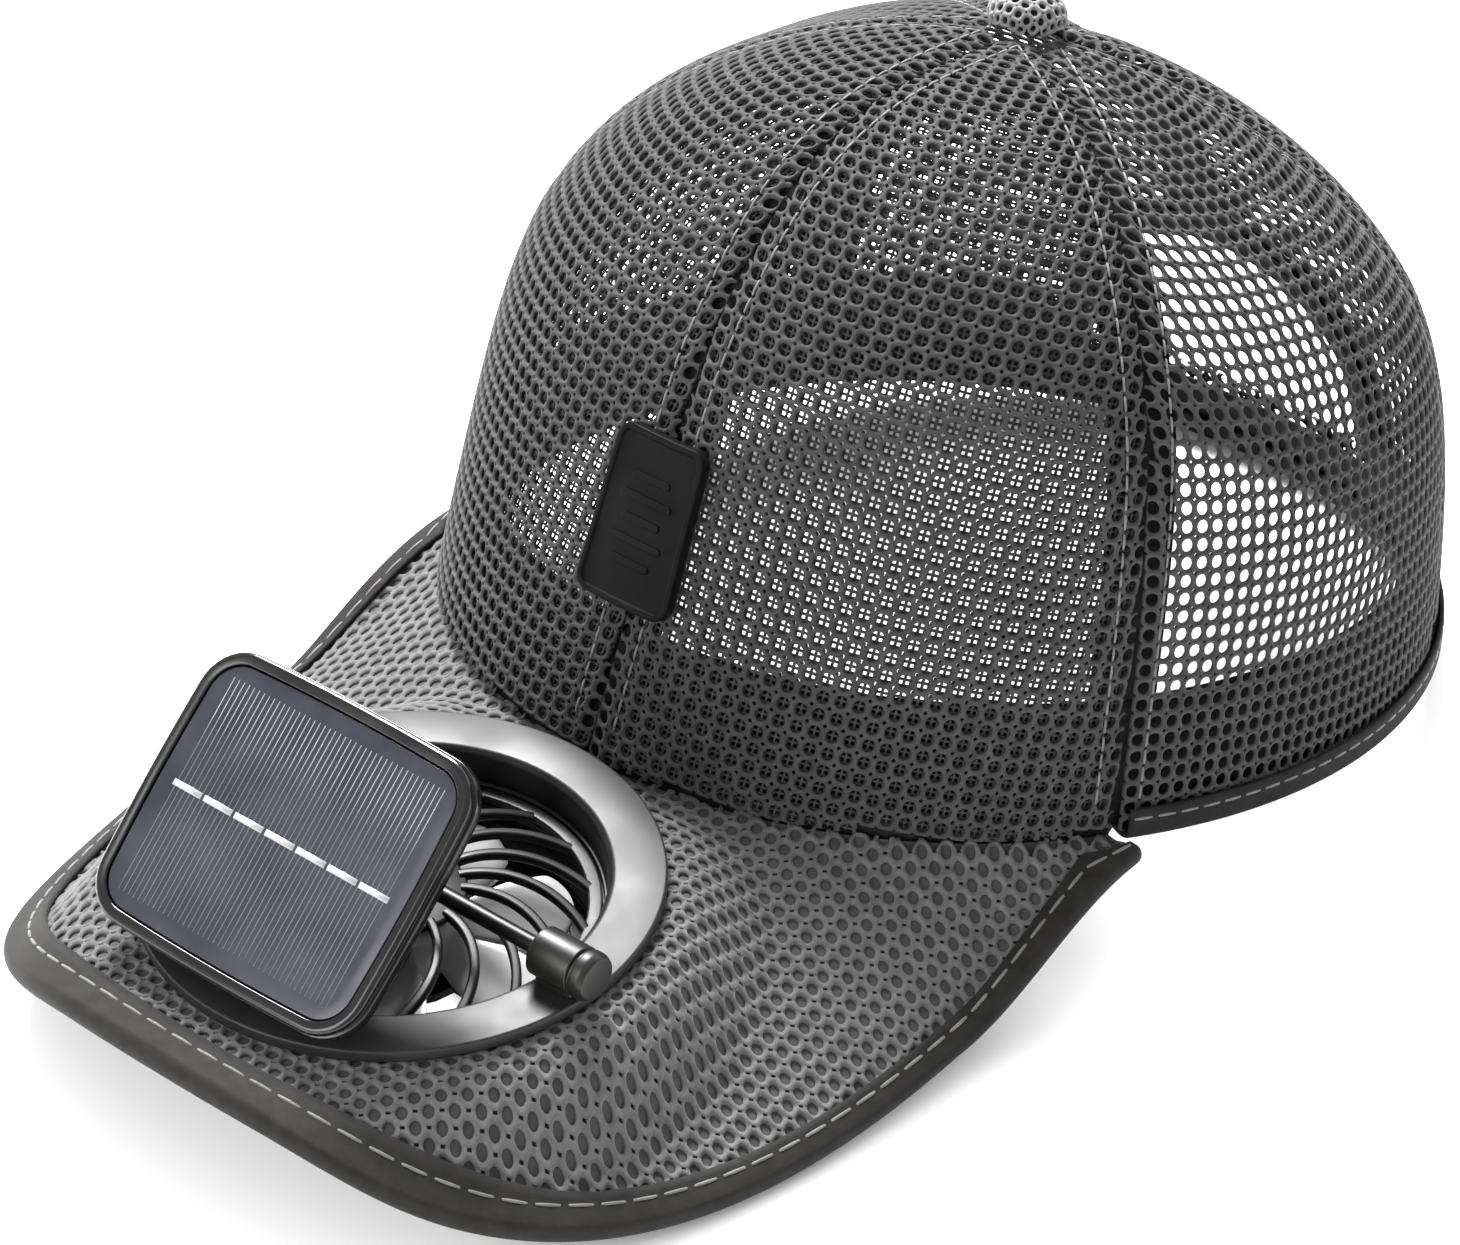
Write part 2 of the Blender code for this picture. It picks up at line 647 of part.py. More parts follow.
def make_front_label(rubber, group, parent):
    """A rubber label with a raised lip, over the front seam and bent to the crown."""
    def on_crown(x, y, z):
        climb = LABEL_CENTRE + y
        radius = RIM_HALF_WIDTH ** 2 / RIM_HALF_LENGTH
        return crown_offset(math.asin(x / radius) * radius / RIM_HALF_WIDTH, climb, -z)
    low = CLOTH_FIT
    high = low + LABEL_THICKNESS
    floor = high - LABEL_LIP_HEIGHT
    middle = LABEL_WIDTH / 4
    rings = [(middle, low), (EDGE_BEVEL, low), (0.0, low + EDGE_BEVEL), (0.0, high - EDGE_BEVEL),
             (EDGE_BEVEL, high), (LABEL_LIP_WIDTH, high), (LABEL_LIP_WIDTH + LABEL_LIP_HEIGHT, floor),
             (middle, floor)]
    size = (LABEL_WIDTH, LABEL_LENGTH, LABEL_CORNER, 0.0)
    plate("front_label", rings, size, rubber, group, parent, on_crown)


def make_fan_shell(plastic, group, fan_mount):
    """The flanged bezel on the brim and the cup under it."""
    bezel = [
        (MOUTH_RADIUS, FLANGE_TOP), (FLANGE_RADIUS - EDGE_BEVEL, FLANGE_TOP),
        (FLANGE_RADIUS, FLANGE_TOP - EDGE_BEVEL),
        (FLANGE_RADIUS, FIT), (BARREL_RADIUS, FIT), (BARREL_RADIUS, -BEZEL_DEPTH),
        (GUARD_RING_RADIUS + FIT, -BEZEL_DEPTH), (GUARD_RING_RADIUS + FIT, -BEZEL_DEPTH + GUARD_RING_HEIGHT),
    ]
    turn("fan_bezel", bezel, plastic, group, fan_mount)
    top = -BEZEL_DEPTH - FIT
    inside = BARREL_RADIUS - HOUSING_WALL
    lip = GRILLE_RADIUS + FIT
    cup = [
        (HOUSING_LIP, top), (BARREL_RADIUS, top), (BARREL_RADIUS, -HOUSING_DEPTH + HOUSING_WALL),
        (BARREL_RADIUS - HOUSING_WALL, -HOUSING_DEPTH), (lip, -HOUSING_DEPTH),
        (lip, -HOUSING_DEPTH + HOUSING_WALL), (inside, -HOUSING_DEPTH + 2 * HOUSING_WALL),
        (inside, top - HOUSING_WALL), (HOUSING_LIP, top - HOUSING_WALL),
    ]
    turn("fan_housing", cup, plastic, group, fan_mount)


def rib_points(index):
    """One curved guard rib: quads across its run from the cap out to the ring."""
    sections = RIB_SECTIONS
    inner, outer = GUARD_CAP_RADIUS - RIB_ROOT, GUARD_RING_RADIUS - GUARD_RING_WIDTH / 2
    high, low = GUARD_CAP_TOP - FIT, -BEZEL_DEPTH + GUARD_RING_HEIGHT - FIT
    start = 2.0 * math.pi * index / RIB_COUNT
    line = []
    for share in np.linspace(0.0, 1.0, sections):
        radius = inner + (outer - inner) * share
        angle = start - RIB_SWEEP * share ** 1.4
        height = high + (low - high) * share ** 2.2
        line.append(Vector((radius * math.cos(angle), radius * math.sin(angle), height)))
    points = []
    for i, middle in enumerate(line):
        ahead = (line[min(i + 1, sections - 1)] - line[max(i - 1, 0)]).normalized()
        aside = Vector((-ahead.y, ahead.x, 0.0)).normalized() * (RIB_WIDTH / 2)
        drop = Vector((0.0, 0.0, -RIB_HEIGHT))
        points += [middle - aside, middle + aside, middle + aside + drop, middle - aside + drop]
    return points


def tube_faces(sections, sides, first=0):
    """Faces of a closed tube of sections, with both ends capped."""
    faces = []
    for s in range(sections - 1):
        for i in range(sides):
            a, b = first + s * sides + i, first + s * sides + (i + 1) % sides
            faces.append((a, a + sides, b + sides, b))
    faces.append(tuple(first + i for i in range(sides)))
    faces.append(tuple(first + (sections - 1) * sides + i for i in reversed(range(sides))))
    return faces


def make_fan_guard(plastic, group, fan_mount, cutters):
    """The guard: a ring and a cap joined by curved ribs."""
    low, high = -BEZEL_DEPTH, -BEZEL_DEPTH + GUARD_RING_HEIGHT
    inside = GUARD_RING_RADIUS - GUARD_RING_WIDTH
    ring = [(inside, high), (GUARD_RING_RADIUS, high), (GUARD_RING_RADIUS, low), (inside, low)]
    guard = turn("fan_guard", ring, plastic, group, fan_mount)
    top, bottom = GUARD_CAP_TOP, GUARD_CAP_TOP - GUARD_CAP_WALL
    cap = [(0.0, top), (GUARD_CAP_RADIUS * 0.6, top - 0.2 * GUARD_CAP_EDGE),
           (GUARD_CAP_RADIUS, top - GUARD_CAP_EDGE), (GUARD_CAP_RADIUS, bottom), (0.0, bottom)]
    cap_piece = as_cutter(turn("guard_cap", cap, plastic, cutters, fan_mount, MIDDLE_STEPS, closed=False))
    points, faces = [], []
    for index in range(RIB_COUNT):
        faces += tube_faces(RIB_SECTIONS, 4, first=len(points))
        points += rib_points(index)
    ribs = as_cutter(add_mesh("guard_ribs", points, faces, plastic, cutters, fan_mount, smooth=False))
    boolean(guard, ribs, "UNION")
    boolean(guard, cap_piece, "UNION")


def slot_points(inner, outer, angle_from, angle_to, low, high, steps=3):
    """A curved slot's sections: a box bent round the axis."""
    points = []
    for angle in np.linspace(angle_from, angle_to, steps):
        c, s = math.cos(angle), math.sin(angle)
        points += [(inner * c, inner * s, low), (inner * c, inner * s, high),
                   (outer * c, outer * s, high), (outer * c, outer * s, low)]
    return points


def make_back_grille(plastic, group, fan_mount, cutters):
    """The slotted disc that closes the housing below and carries the motor."""
    low, high = -HOUSING_DEPTH, -HOUSING_DEPTH + GRILLE_WALL
    disc = [(0.0, high), (GRILLE_RADIUS, high), (GRILLE_RADIUS, low), (0.0, low)]
    grille = turn("fan_back_grille", disc, plastic, group, fan_mount, closed=False)
    points, faces = [], []
    for ring in GRILLE_RINGS.values():
        pitch = 2.0 * math.pi / ring["slots"]
        inner, outer = GRILLE_RADIUS * ring["from"], GRILLE_RADIUS * ring["to"]
        half_bar = GRILLE_BAR / (inner + outer)
        for index in range(ring["slots"]):
            start = index * pitch
            faces += [face[::-1] for face in tube_faces(3, 4, first=len(points))]
            points += slot_points(inner, outer, start + half_bar, start + pitch - half_bar,
                                  low - GRILLE_WALL, high + GRILLE_WALL)
    slots = as_cutter(add_mesh("grille_slots", points, faces, plastic, cutters, fan_mount, smooth=False))
    boolean(grille, slots, "DIFFERENCE")


def make_motor(metal, group, fan_mount):
    """The motor can with its spindle, standing on the back grille."""
    base = -HOUSING_DEPTH + GRILLE_WALL + FIT
    tip = -HUB_TOP - SPINDLE_COVER - FIT
    profile = [(0.0, tip), (SPINDLE_RADIUS, tip), (SPINDLE_RADIUS, -MOTOR_TOP),
               (MOTOR_RADIUS - EDGE_BEVEL, -MOTOR_TOP), (MOTOR_RADIUS, -MOTOR_TOP - EDGE_BEVEL),
               (MOTOR_RADIUS, base), (0.0, base)]
    turn("fan_motor", profile, metal, group, fan_mount, MIDDLE_STEPS, closed=False)


def blade_points(index):
    """One twisted blade, lofted from its root in the hub to a rounded tip."""
    start = 2.0 * math.pi * index / BLADE_COUNT
    root = HUB_RADIUS - HUB_WALL / 2
    points = []
    for section in BLADE_SECTIONS.values():
        radius = root + (BLADE_TIP - root) * section["span"]
        pitch = math.radians(section["pitch"])
        for along, up in ((-1, -1), (1, -1), (1, 1), (-1, 1)):
            chord = along * section["chord"] * BLADE_CHORD / 2
            wall = up * BLADE_WALL / 2
            arc = (chord * math.cos(pitch) - wall * math.sin(pitch)) / radius
            height = chord * math.sin(pitch) + wall * math.cos(pitch) - BLADE_MIDDLE
            points.append((radius * math.cos(start + arc), radius * math.sin(start + arc), height))
    return points


def make_rotor(blade_plastic, group, fan_mount, cutters):
    """The hub cup over the motor and its blades; its origin is on the spindle's axis."""
    inside, ceiling = HUB_RADIUS - HUB_WALL, -HUB_TOP - HUB_CROWN
    profile = [
        (0.0, -HUB_TOP), (inside, -HUB_TOP), (HUB_RADIUS, -HUB_TOP - HUB_WALL), (HUB_RADIUS, -HUB_BOTTOM),
        (inside, -HUB_BOTTOM), (inside, ceiling), (SPINDLE_RADIUS + FIT, ceiling),
        (SPINDLE_RADIUS + FIT, -HUB_TOP - SPINDLE_COVER), (0.0, -HUB_TOP - SPINDLE_COVER),
    ]
    rotor = turn("fan_rotor", profile, blade_plastic, group, fan_mount, MIDDLE_STEPS, closed=False)
    points, faces = [], []
    for index in range(BLADE_COUNT):
        faces += [face[::-1] for face in tube_faces(len(BLADE_SECTIONS), 4, first=len(points))]
        points += blade_points(index)
    blades = add_mesh("rotor_blades", points, faces, blade_plastic, cutters, fan_mount, smooth=False)
    boolean(rotor, as_cutter(blades), "UNION")


def shaft_height():
    """The hinge shaft's height over the brim: its barrels stand on the flange."""
    return FLANGE_TOP + FIT + HINGE_BARREL_RADIUS


def make_hinge_barrel(side, plastic, group, fan_mount, cutters):
    """A friction barrel on the flange, with a blind bore for the shaft, a groove and a flat foot."""
    name = "left" if side > 0 else "right"
    length = HINGE_BARREL_OUTER - HINGE_BARREL_INNER
    bore, bore_depth = SHAFT_RADIUS + FIT, SHAFT_REACH + 2 * FIT - HINGE_BARREL_INNER
    radius, groove, end = HINGE_BARREL_RADIUS, HINGE_GROOVE, HINGE_END
    profile = [
        (0.0, length), (radius - end, length), (radius, length - end), (radius, length - 2 * end),
        (radius - groove, length - 2 * end - groove), (radius, length - 2 * end - 2 * groove),
        (radius, EDGE_BEVEL), (radius - EDGE_BEVEL, 0.0), (bore, 0.0), (bore, bore_depth), (0.0, bore_depth),
    ]
    barrel = turn("hinge_barrel_" + name, profile, plastic, group, fan_mount, SMALL_STEPS, closed=False)
    barrel.location = (side * HINGE_BARREL_INNER, -HINGE_FORWARD, shaft_height())
    barrel.rotation_euler = (0.0, side * math.pi / 2, 0.0)
    half = HINGE_FOOT_WIDTH / 2
    centre = side * (HINGE_BARREL_INNER + FLANGE_RADIUS - 2 * EDGE_BEVEL) / 2
    low, high = FLANGE_TOP + FIT, FLANGE_TOP + FIT + HINGE_BARREL_RADIUS * 0.6
    points = [(centre + x * half, -HINGE_FORWARD + y * half, z) for z in (low, high)
              for x, y in ((-1, -1), (1, -1), (1, 1), (-1, 1))]
    faces = [(0, 3, 2, 1), (4, 5, 6, 7), (0, 1, 5, 4), (1, 2, 6, 5), (2, 3, 7, 6), (3, 0, 4, 7)]
    foot = add_mesh("barrel_foot_" + name, points, faces, plastic, cutters, fan_mount, smooth=False)
    boolean(barrel, as_cutter(foot), "UNION")


def make_solar_panel(frame_plastic, cell_glass, metal, group, hinge, cutters):
    """The panel, its arm and the shaft, in the hinge's frame: Z is the panel's normal."""
    rod = [(0.0, SHAFT_REACH), (SHAFT_RADIUS, SHAFT_REACH), (SHAFT_RADIUS, -SHAFT_REACH), (0.0, -SHAFT_REACH)]
    shaft = turn("panel_shaft", rod, metal, group, hinge, SMALL_STEPS, closed=False)
    shaft.rotation_euler = (0.0, math.pi / 2, 0.0)

    half = ARM_WIDTH / 2
    bore = SHAFT_RADIUS + FIT
    boss = [(bore, half), (ARM_BOSS_RADIUS, half), (ARM_BOSS_RADIUS, -half), (bore, -half)]
    arm = turn("panel_arm", boss, frame_plastic, group, hinge, SMALL_STEPS)
    arm.rotation_euler = (0.0, math.pi / 2, 0.0)
    low, high = (bore + ARM_BOSS_RADIUS) / 2, PANEL_STANDOFF - FIT
    points = [(x * half * 0.96, y * ARM_WALL / 2, z) for z in (low, high)
              for x, y in ((-1, -1), (1, -1), (1, 1), (-1, 1))]
    faces = [(0, 3, 2, 1), (4, 5, 6, 7), (0, 1, 5, 4), (1, 2, 6, 5), (2, 3, 7, 6), (3, 0, 4, 7)]
    stem = as_cutter(add_mesh("arm_stem", points, faces, frame_plastic, cutters, hinge, smooth=False))
    boolean(arm, stem, "UNION")

    top, middle = FRAME_THICKNESS, FRAME_LENGTH / 4
    recess = top - CELL_RECESS
    rings = [
        (middle, 0.0), (1.5 * FRAME_LIP, 0.0), (0.4 * FRAME_LIP, FRAME_THICKNESS / 4),
        (0.0, top - FRAME_THICKNESS / 3), (0.1 * FRAME_LIP, top - EDGE_BEVEL),
        (0.4 * FRAME_LIP, top), (FRAME_LIP, top), (FRAME_LIP, recess), (middle, recess),
    ]
    size = (FRAME_WIDTH, FRAME_LENGTH, FRAME_CORNER, FRAME_BOW)
    frame = plate("panel_frame", rings, size, frame_plastic, group, hinge)
    frame.location = (PANEL_OFFSET_SIDE, -PANEL_OFFSET_FRONT, PANEL_STANDOFF)
    inset = FRAME_LIP + FIT
    low, high = recess + FIT, recess + FIT + CELL_THICKNESS
    cell_rings = [(middle, low), (inset, low), (inset, high), (middle, high)]
    cell = plate("solar_cell", cell_rings, size, cell_glass, group, hinge)
    cell.location = frame.location


def piece_points(names, frame):
    """The evaluated points of some pieces, in a frame's coordinates."""
    bpy.context.view_layer.update()
    graph = bpy.context.evaluated_depsgraph_get()
    points = []
    for name in names:
        obj = bpy.data.objects[name].evaluated_get(graph)
        place = frame.matrix_world.inverted() @ obj.matrix_world
        points += [place @ vertex.co for vertex in obj.data.vertices]
    return np.array([tuple(point) for point in points])


def stand_on_table(stance, group):
    """Tip the hat back until the brim and the rear rim touch together, then centre it on the origin."""
    brim = piece_points(["brim_binding"], stance)
    rear = piece_points(["rim_binding"], stance)
    low, high = 0.0, math.radians(20.0)
    for _ in range(40):
        pitch = (low + high) / 2
        heights = [(-points[:, 1] * math.sin(pitch) + points[:, 2] * math.cos(pitch)).min()
                   for points in (brim, rear)]
        if heights[0] < heights[1]:
            low = pitch
        else:
            high = pitch
    stance.rotation_euler = (-pitch, 0.0, 0.0)
    bpy.context.view_layer.update()
    graph = bpy.context.evaluated_depsgraph_get()
    corners = []
    for obj in group.objects:
        if obj.type == "MESH":
            shown = obj.evaluated_get(graph)
            corners += [shown.matrix_world @ vertex.co for vertex in shown.data.vertices]
    corners = np.array([tuple(corner) for corner in corners])
    least, most = corners.min(axis=0), corners.max(axis=0)
    stance.location = (-(least[0] + most[0]) / 2, -(least[1] + most[1]) / 2, -least[2])
    bpy.context.view_layer.update()


def build():
    """Make every piece, then stand the hat on the table."""
    clear_scene()
    group = make_collection("fan_hat")
    cutters = make_collection("cutters")

    mesh_cloth = make_material("mesh_cloth", (0.055, 0.057, 0.060), 0.75)
    brim_cloth = make_material("brim_cloth", (0.075, 0.077, 0.080), 0.7)
    band_cloth = make_material("band_cloth", (0.020, 0.020, 0.022), 0.85)
    tape_cloth = make_material("tape_cloth", (0.030, 0.030, 0.032), 0.6)
    button_cloth = make_material("button_cloth", (0.045, 0.046, 0.048), 0.75)
    label_rubber = make_material("label_rubber", (0.012, 0.012, 0.013), 0.45)
    fan_plastic = make_material("fan_plastic", (0.015, 0.015, 0.016), 0.32)
    blade_plastic = make_material("blade_plastic", (0.50, 0.50, 0.50), 0.4)
    frame_plastic = make_material("frame_plastic", (0.012, 0.012, 0.013), 0.3)
    cell_glass = make_material("cell_glass", (0.030, 0.034, 0.060), 0.25)
    steel = make_material("steel", (0.35, 0.35, 0.36), 0.35, 1.0)

    stance = add_empty("hat_stance", group)
    fan_mount = add_empty("fan_mount", group, stance)
    fan_mount.location = (0.0, -RIM_HALF_LENGTH - FAN_FORWARD, -FAN_DEPTH)
    fan_mount.rotation_euler = (FAN_SLOPE, 0.0, 0.0)
    hinge = add_empty("panel_hinge", group, fan_mount)
    hinge.location = (0.0, -HINGE_FORWARD, shaft_height())
    hinge.rotation_euler = (PANEL_TILT, 0.0, 0.0)

    make_crown_panels(mesh_cloth, group, stance, cutters)
    make_seam_tapes(tape_cloth, group, stance)
    make_sweatband(band_cloth, group, stance, cutters)
    make_top_button(button_cloth, group, stance)
    make_rim_binding(tape_cloth, group, stance)
    make_arch_binding(tape_cloth, group, stance)
    make_brim(brim_cloth, group, stance, fan_mount, cutters)
    make_brim_binding(tape_cloth, group, stance)
    make_front_label(label_rubber, group, stance)

    make_fan_shell(fan_plastic, group, fan_mount)
    make_fan_guard(fan_plastic, group, fan_mount, cutters)
    make_back_grille(fan_plastic, group, fan_mount, cutters)
    make_motor(steel, group, fan_mount)
    make_rotor(blade_plastic, group, fan_mount, cutters)
    for side in (1.0, -1.0):
        make_hinge_barrel(side, fan_plastic, group, fan_mount, cutters)
    make_solar_panel(frame_plastic, cell_glass, steel, group, hinge, cutters)
    stand_on_table(stance, group)


build()
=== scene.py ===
# %% [markdown]
# # A mesh cap with a fan in its brim
#
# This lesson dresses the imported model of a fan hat: six gores of open spacer mesh, a stiff brim with a round
# fan let into it, and a small solar panel that tilts over the fan on a stiff hinge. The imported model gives
# every size and every moving body. Each cell below makes one visible piece on top of it.

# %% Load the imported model
import json
import math

import bpy
import numpy as np
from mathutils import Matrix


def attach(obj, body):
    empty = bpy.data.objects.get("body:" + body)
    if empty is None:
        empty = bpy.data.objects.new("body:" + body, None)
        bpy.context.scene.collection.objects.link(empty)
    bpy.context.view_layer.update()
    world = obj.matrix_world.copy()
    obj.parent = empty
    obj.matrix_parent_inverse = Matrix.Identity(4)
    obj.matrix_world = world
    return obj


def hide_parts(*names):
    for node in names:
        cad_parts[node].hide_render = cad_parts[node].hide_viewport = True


MM = 0.001
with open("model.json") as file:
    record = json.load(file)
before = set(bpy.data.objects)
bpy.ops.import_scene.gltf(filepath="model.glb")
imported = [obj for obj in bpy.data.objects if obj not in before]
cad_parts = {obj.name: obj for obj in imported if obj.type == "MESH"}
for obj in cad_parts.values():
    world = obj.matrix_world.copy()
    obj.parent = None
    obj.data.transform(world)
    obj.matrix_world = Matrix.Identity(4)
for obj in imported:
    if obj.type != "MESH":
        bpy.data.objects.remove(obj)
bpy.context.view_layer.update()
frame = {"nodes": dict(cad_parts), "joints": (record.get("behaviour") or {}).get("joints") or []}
joints = {joint["name"]: joint for joint in frame["joints"]}

# %% [markdown]
# ## Frames
#
# The hat was drawn upright on its rim and then tipped back until it rests on a table, so its surfaces are
# easiest to write in the hat's own frame. The fan and the solar panel have frames of their own as well, whose
# places and axes are those of their joints. A frame is an origin and three axes.


# %% Frames of the hat, the fan and the panel
def frame_about_x(origin, up):
    """A frame whose X is the world's X and whose Z is the given direction; returns origin and axis rows."""
    z = np.array(up) / np.linalg.norm(up)
    x = np.array([1.0, 0.0, 0.0])
    return np.array(origin), np.array([x, np.cross(z, x), z])


def placed(points, place):
    """Points of a frame in world coordinates: origin + x X + y Y + z Z."""
    origin, axes = place
    return np.asarray(points) @ axes + origin


HAT_PITCH = math.radians(6.975)
HAT = frame_about_x((0.0, 50.739 * MM, 19.392 * MM), (0.0, math.sin(HAT_PITCH), math.cos(HAT_PITCH)))
FAN = frame_about_x(joints["fan_spin"]["pos_m"], joints["fan_spin"]["axis"])
PANEL_TILT = math.radians(41.0)
fan_y, fan_z = FAN[1][1], FAN[1][2]
HINGE = frame_about_x(joints["panel_tilt"]["pos_m"],
                      math.cos(PANEL_TILT) * fan_z - math.sin(PANEL_TILT) * fan_y)
print("fan axis", FAN[1][2].round(4), "panel normal", HINGE[1][2].round(4))

# %% [markdown]
# ## Camera, floor and light
#
# A product photograph has a long lens, a white table and large soft lamps. The lamps here are area lights:
# a strong one high behind the wearer's right for the form, a broad one low in front, and a weak one behind
# that grazes the mesh. None stands where the glossy cell would mirror it into the camera.

# %% Camera and stage
CAMERA_PLACE = (431.85 * MM, -550.65 * MM, 507.93 * MM)
CAMERA_TURN = (55.8035, -1.5993, 39.8724)
CAMERA_LENS = 117.057
SENSOR_WIDTH = 36.0
WORLD_STRENGTH = 1.15

camera_data = bpy.data.cameras.new("camera")
camera_data.lens = CAMERA_LENS
camera_data.sensor_width = SENSOR_WIDTH
camera_data.clip_start, camera_data.clip_end = 0.01, 20.0
camera = bpy.data.objects.new("camera", camera_data)
camera.location = CAMERA_PLACE
camera.rotation_euler = [math.radians(angle) for angle in CAMERA_TURN]
bpy.context.scene.collection.objects.link(camera)
bpy.context.scene.camera = camera
bpy.context.scene.view_settings.view_transform = "Standard"
print("camera lens", CAMERA_LENS, "mm")


def area_light(name, place, aim_height, size, power):
    """A square soft lamp at a place, aimed at a height over the origin, in metres and watts."""
    data = bpy.data.lights.new(name, "AREA")
    data.shape, data.size, data.energy = "SQUARE", size, power
    lamp = bpy.data.objects.new(name, data)
    lamp.location = place
    aim = np.array([0.0, 0.0, aim_height]) - np.array(place)
    lamp.rotation_euler = (math.acos(-aim[2] / np.linalg.norm(aim)), 0.0, math.atan2(-aim[0], aim[1]))
    bpy.context.scene.collection.objects.link(lamp)


area_light("key_light", (-0.80, 0.50, 1.35), 0.05, 0.6, 125.0)
area_light("front_light", (-0.35, -1.35, 0.62), 0.06, 0.9, 26.0)
area_light("back_light", (0.10, 1.15, 0.70), 0.06, 0.9, 12.0)

world = bpy.data.worlds.new("studio")
world.use_nodes = True
background = world.node_tree.nodes["Background"]
background.inputs["Color"].default_value = (1.0, 1.0, 1.0, 1.0)
background.inputs["Strength"].default_value = WORLD_STRENGTH
bpy.context.scene.world = world
print("lamps:", len(bpy.data.lights))

# %% [markdown]
# ## Meshes from arrays
#
# Every piece is a set of points and quads worked out with numpy. A grid of points becomes quads between its
# rows and columns, and a thin sheet gets its wall by copying its points inwards and closing the rim between
# the two copies.


# %% Mesh helpers
def grid_quads(rows, columns, closed=False):
    """Quads between neighbouring rows and columns of a grid; closed joins the last column to the first."""
    row, column = np.meshgrid(np.arange(rows - 1), np.arange(columns if closed else columns - 1), indexing="ij")
    after = (column + 1) % columns
    return np.stack([row * columns + column, row * columns + after,
                     (row + 1) * columns + after, (row + 1) * columns + column], axis=-1).reshape(-1, 4)


def joined(parts):
    """One set of points and quads from several (points, quads) pairs."""
    points = [np.asarray(part[0]).reshape(-1, 3) for part in parts]
    starts = np.cumsum([0] + [len(block) for block in points[:-1]])
    return np.concatenate(points), np.concatenate([part[1] + start for part, start in zip(parts, starts)])


def repeated(quads, step, count):
    """The same quads for each of many copies of a shape, whose points follow each other by a step."""
    return (quads[None] + step * np.arange(count)[:, None, None]).reshape(-1, 4)


def rows_at(at, along, table):
    """Rows of a table between its entries, by straight lines along one increasing coordinate."""
    return np.stack([np.interp(at, along, table[:, axis]) for axis in range(table.shape[1])], axis=1)


def unit_rows(rows):
    """Each row divided by its length."""
    return rows / np.linalg.norm(rows, axis=1, keepdims=True)


def outline_edges(quads):
    """The directed edges that only one face uses; an edge of a quad that is a triangle is left out."""
    edges = np.stack([quads, np.roll(quads, -1, axis=1)], axis=-1).reshape(-1, 2)
    edges = edges[edges[:, 0] != edges[:, 1]]
    key = np.sort(edges, axis=1)
    code = key[:, 0] * (quads.max() + 1) + key[:, 1]
    _, where, counts = np.unique(code, return_index=True, return_counts=True)
    return edges[where[counts == 1]]


def thickened(upper, lower, quads):
    """A closed solid between an upper and a lower copy of the same faces, walled along every open edge."""
    count = len(upper)
    rim = outline_edges(quads)
    walls = np.stack([rim[:, 1], rim[:, 0], rim[:, 0] + count, rim[:, 1] + count], axis=1)
    return np.concatenate([upper, lower]), np.concatenate([quads, quads[:, ::-1] + count, walls])


def add_piece(name, points, quads, material, slot, body="root", replaced=(), smooth=True, crease=None):
    """A mesh object with a material that rides on a body; quads with a doubled corner become triangles."""
    points, quads = np.asarray(points, dtype=np.float32).reshape(-1, 3), np.asarray(quads)
    doubled = quads == np.roll(quads, -1, axis=1)
    whole = quads[~doubled.any(axis=1)]
    partly = doubled.sum(axis=1) == 1
    triangles = quads[partly][~doubled[partly]].reshape(-1, 3)
    corners = np.concatenate([whole.ravel(), triangles.ravel()]).astype(np.int32)
    totals = np.concatenate([np.full(len(whole), 4), np.full(len(triangles), 3)])
    mesh = bpy.data.meshes.new(name)
    mesh.vertices.add(len(points))
    mesh.vertices.foreach_set("co", points.ravel())
    mesh.loops.add(len(corners))
    mesh.loops.foreach_set("vertex_index", corners)
    mesh.polygons.add(len(totals))
    mesh.polygons.foreach_set("loop_start", (np.cumsum(totals) - totals).astype(np.int32))
    mesh.update(calc_edges=True)
    mesh.validate()
    if smooth:
        mesh.shade_smooth()
    if crease is not None:
        mesh.set_sharp_from_angle(angle=math.radians(crease))
    mesh.materials.append(material)
    piece = bpy.data.objects.new(name, mesh)
    bpy.context.scene.collection.objects.link(piece)
    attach(piece, body)
    if replaced:
        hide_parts(*replaced)
    print(f"{name}: {len(mesh.polygons)} faces")
    return piece


def smoothstep(value):
    """0 below 0, 1 above 1, and 3v^2 - 2v^3 between."""
    value = np.clip(value, 0.0, 1.0)
    return value * value * (3.0 - 2.0 * value)


def rounded_profile(profile, radius, steps=4, closed=False):
    """A polyline with its corners rounded: each corner becomes a short parabola between points beside it."""
    points = np.asarray(profile, dtype=float)
    before, after = np.roll(points, 1, axis=0), np.roll(points, -1, axis=0)
    back, ahead = before - points, after - points
    back_length = np.linalg.norm(back, axis=1, keepdims=True)
    ahead_length = np.linalg.norm(ahead, axis=1, keepdims=True)
    cut = np.minimum(radius, 0.45 * np.minimum(back_length, ahead_length))
    start, end = points + back / back_length * cut, points + ahead / ahead_length * cut
    t = np.linspace(0.0, 1.0, steps + 1)[None, :, None]
    arcs = (1 - t) ** 2 * start[:, None] + 2 * t * (1 - t) * points[:, None] + t ** 2 * end[:, None]
    if closed:
        return arcs.reshape(-1, points.shape[1])
    return np.concatenate([points[:1], arcs[1:-1].reshape(-1, points.shape[1]), points[-1:]])


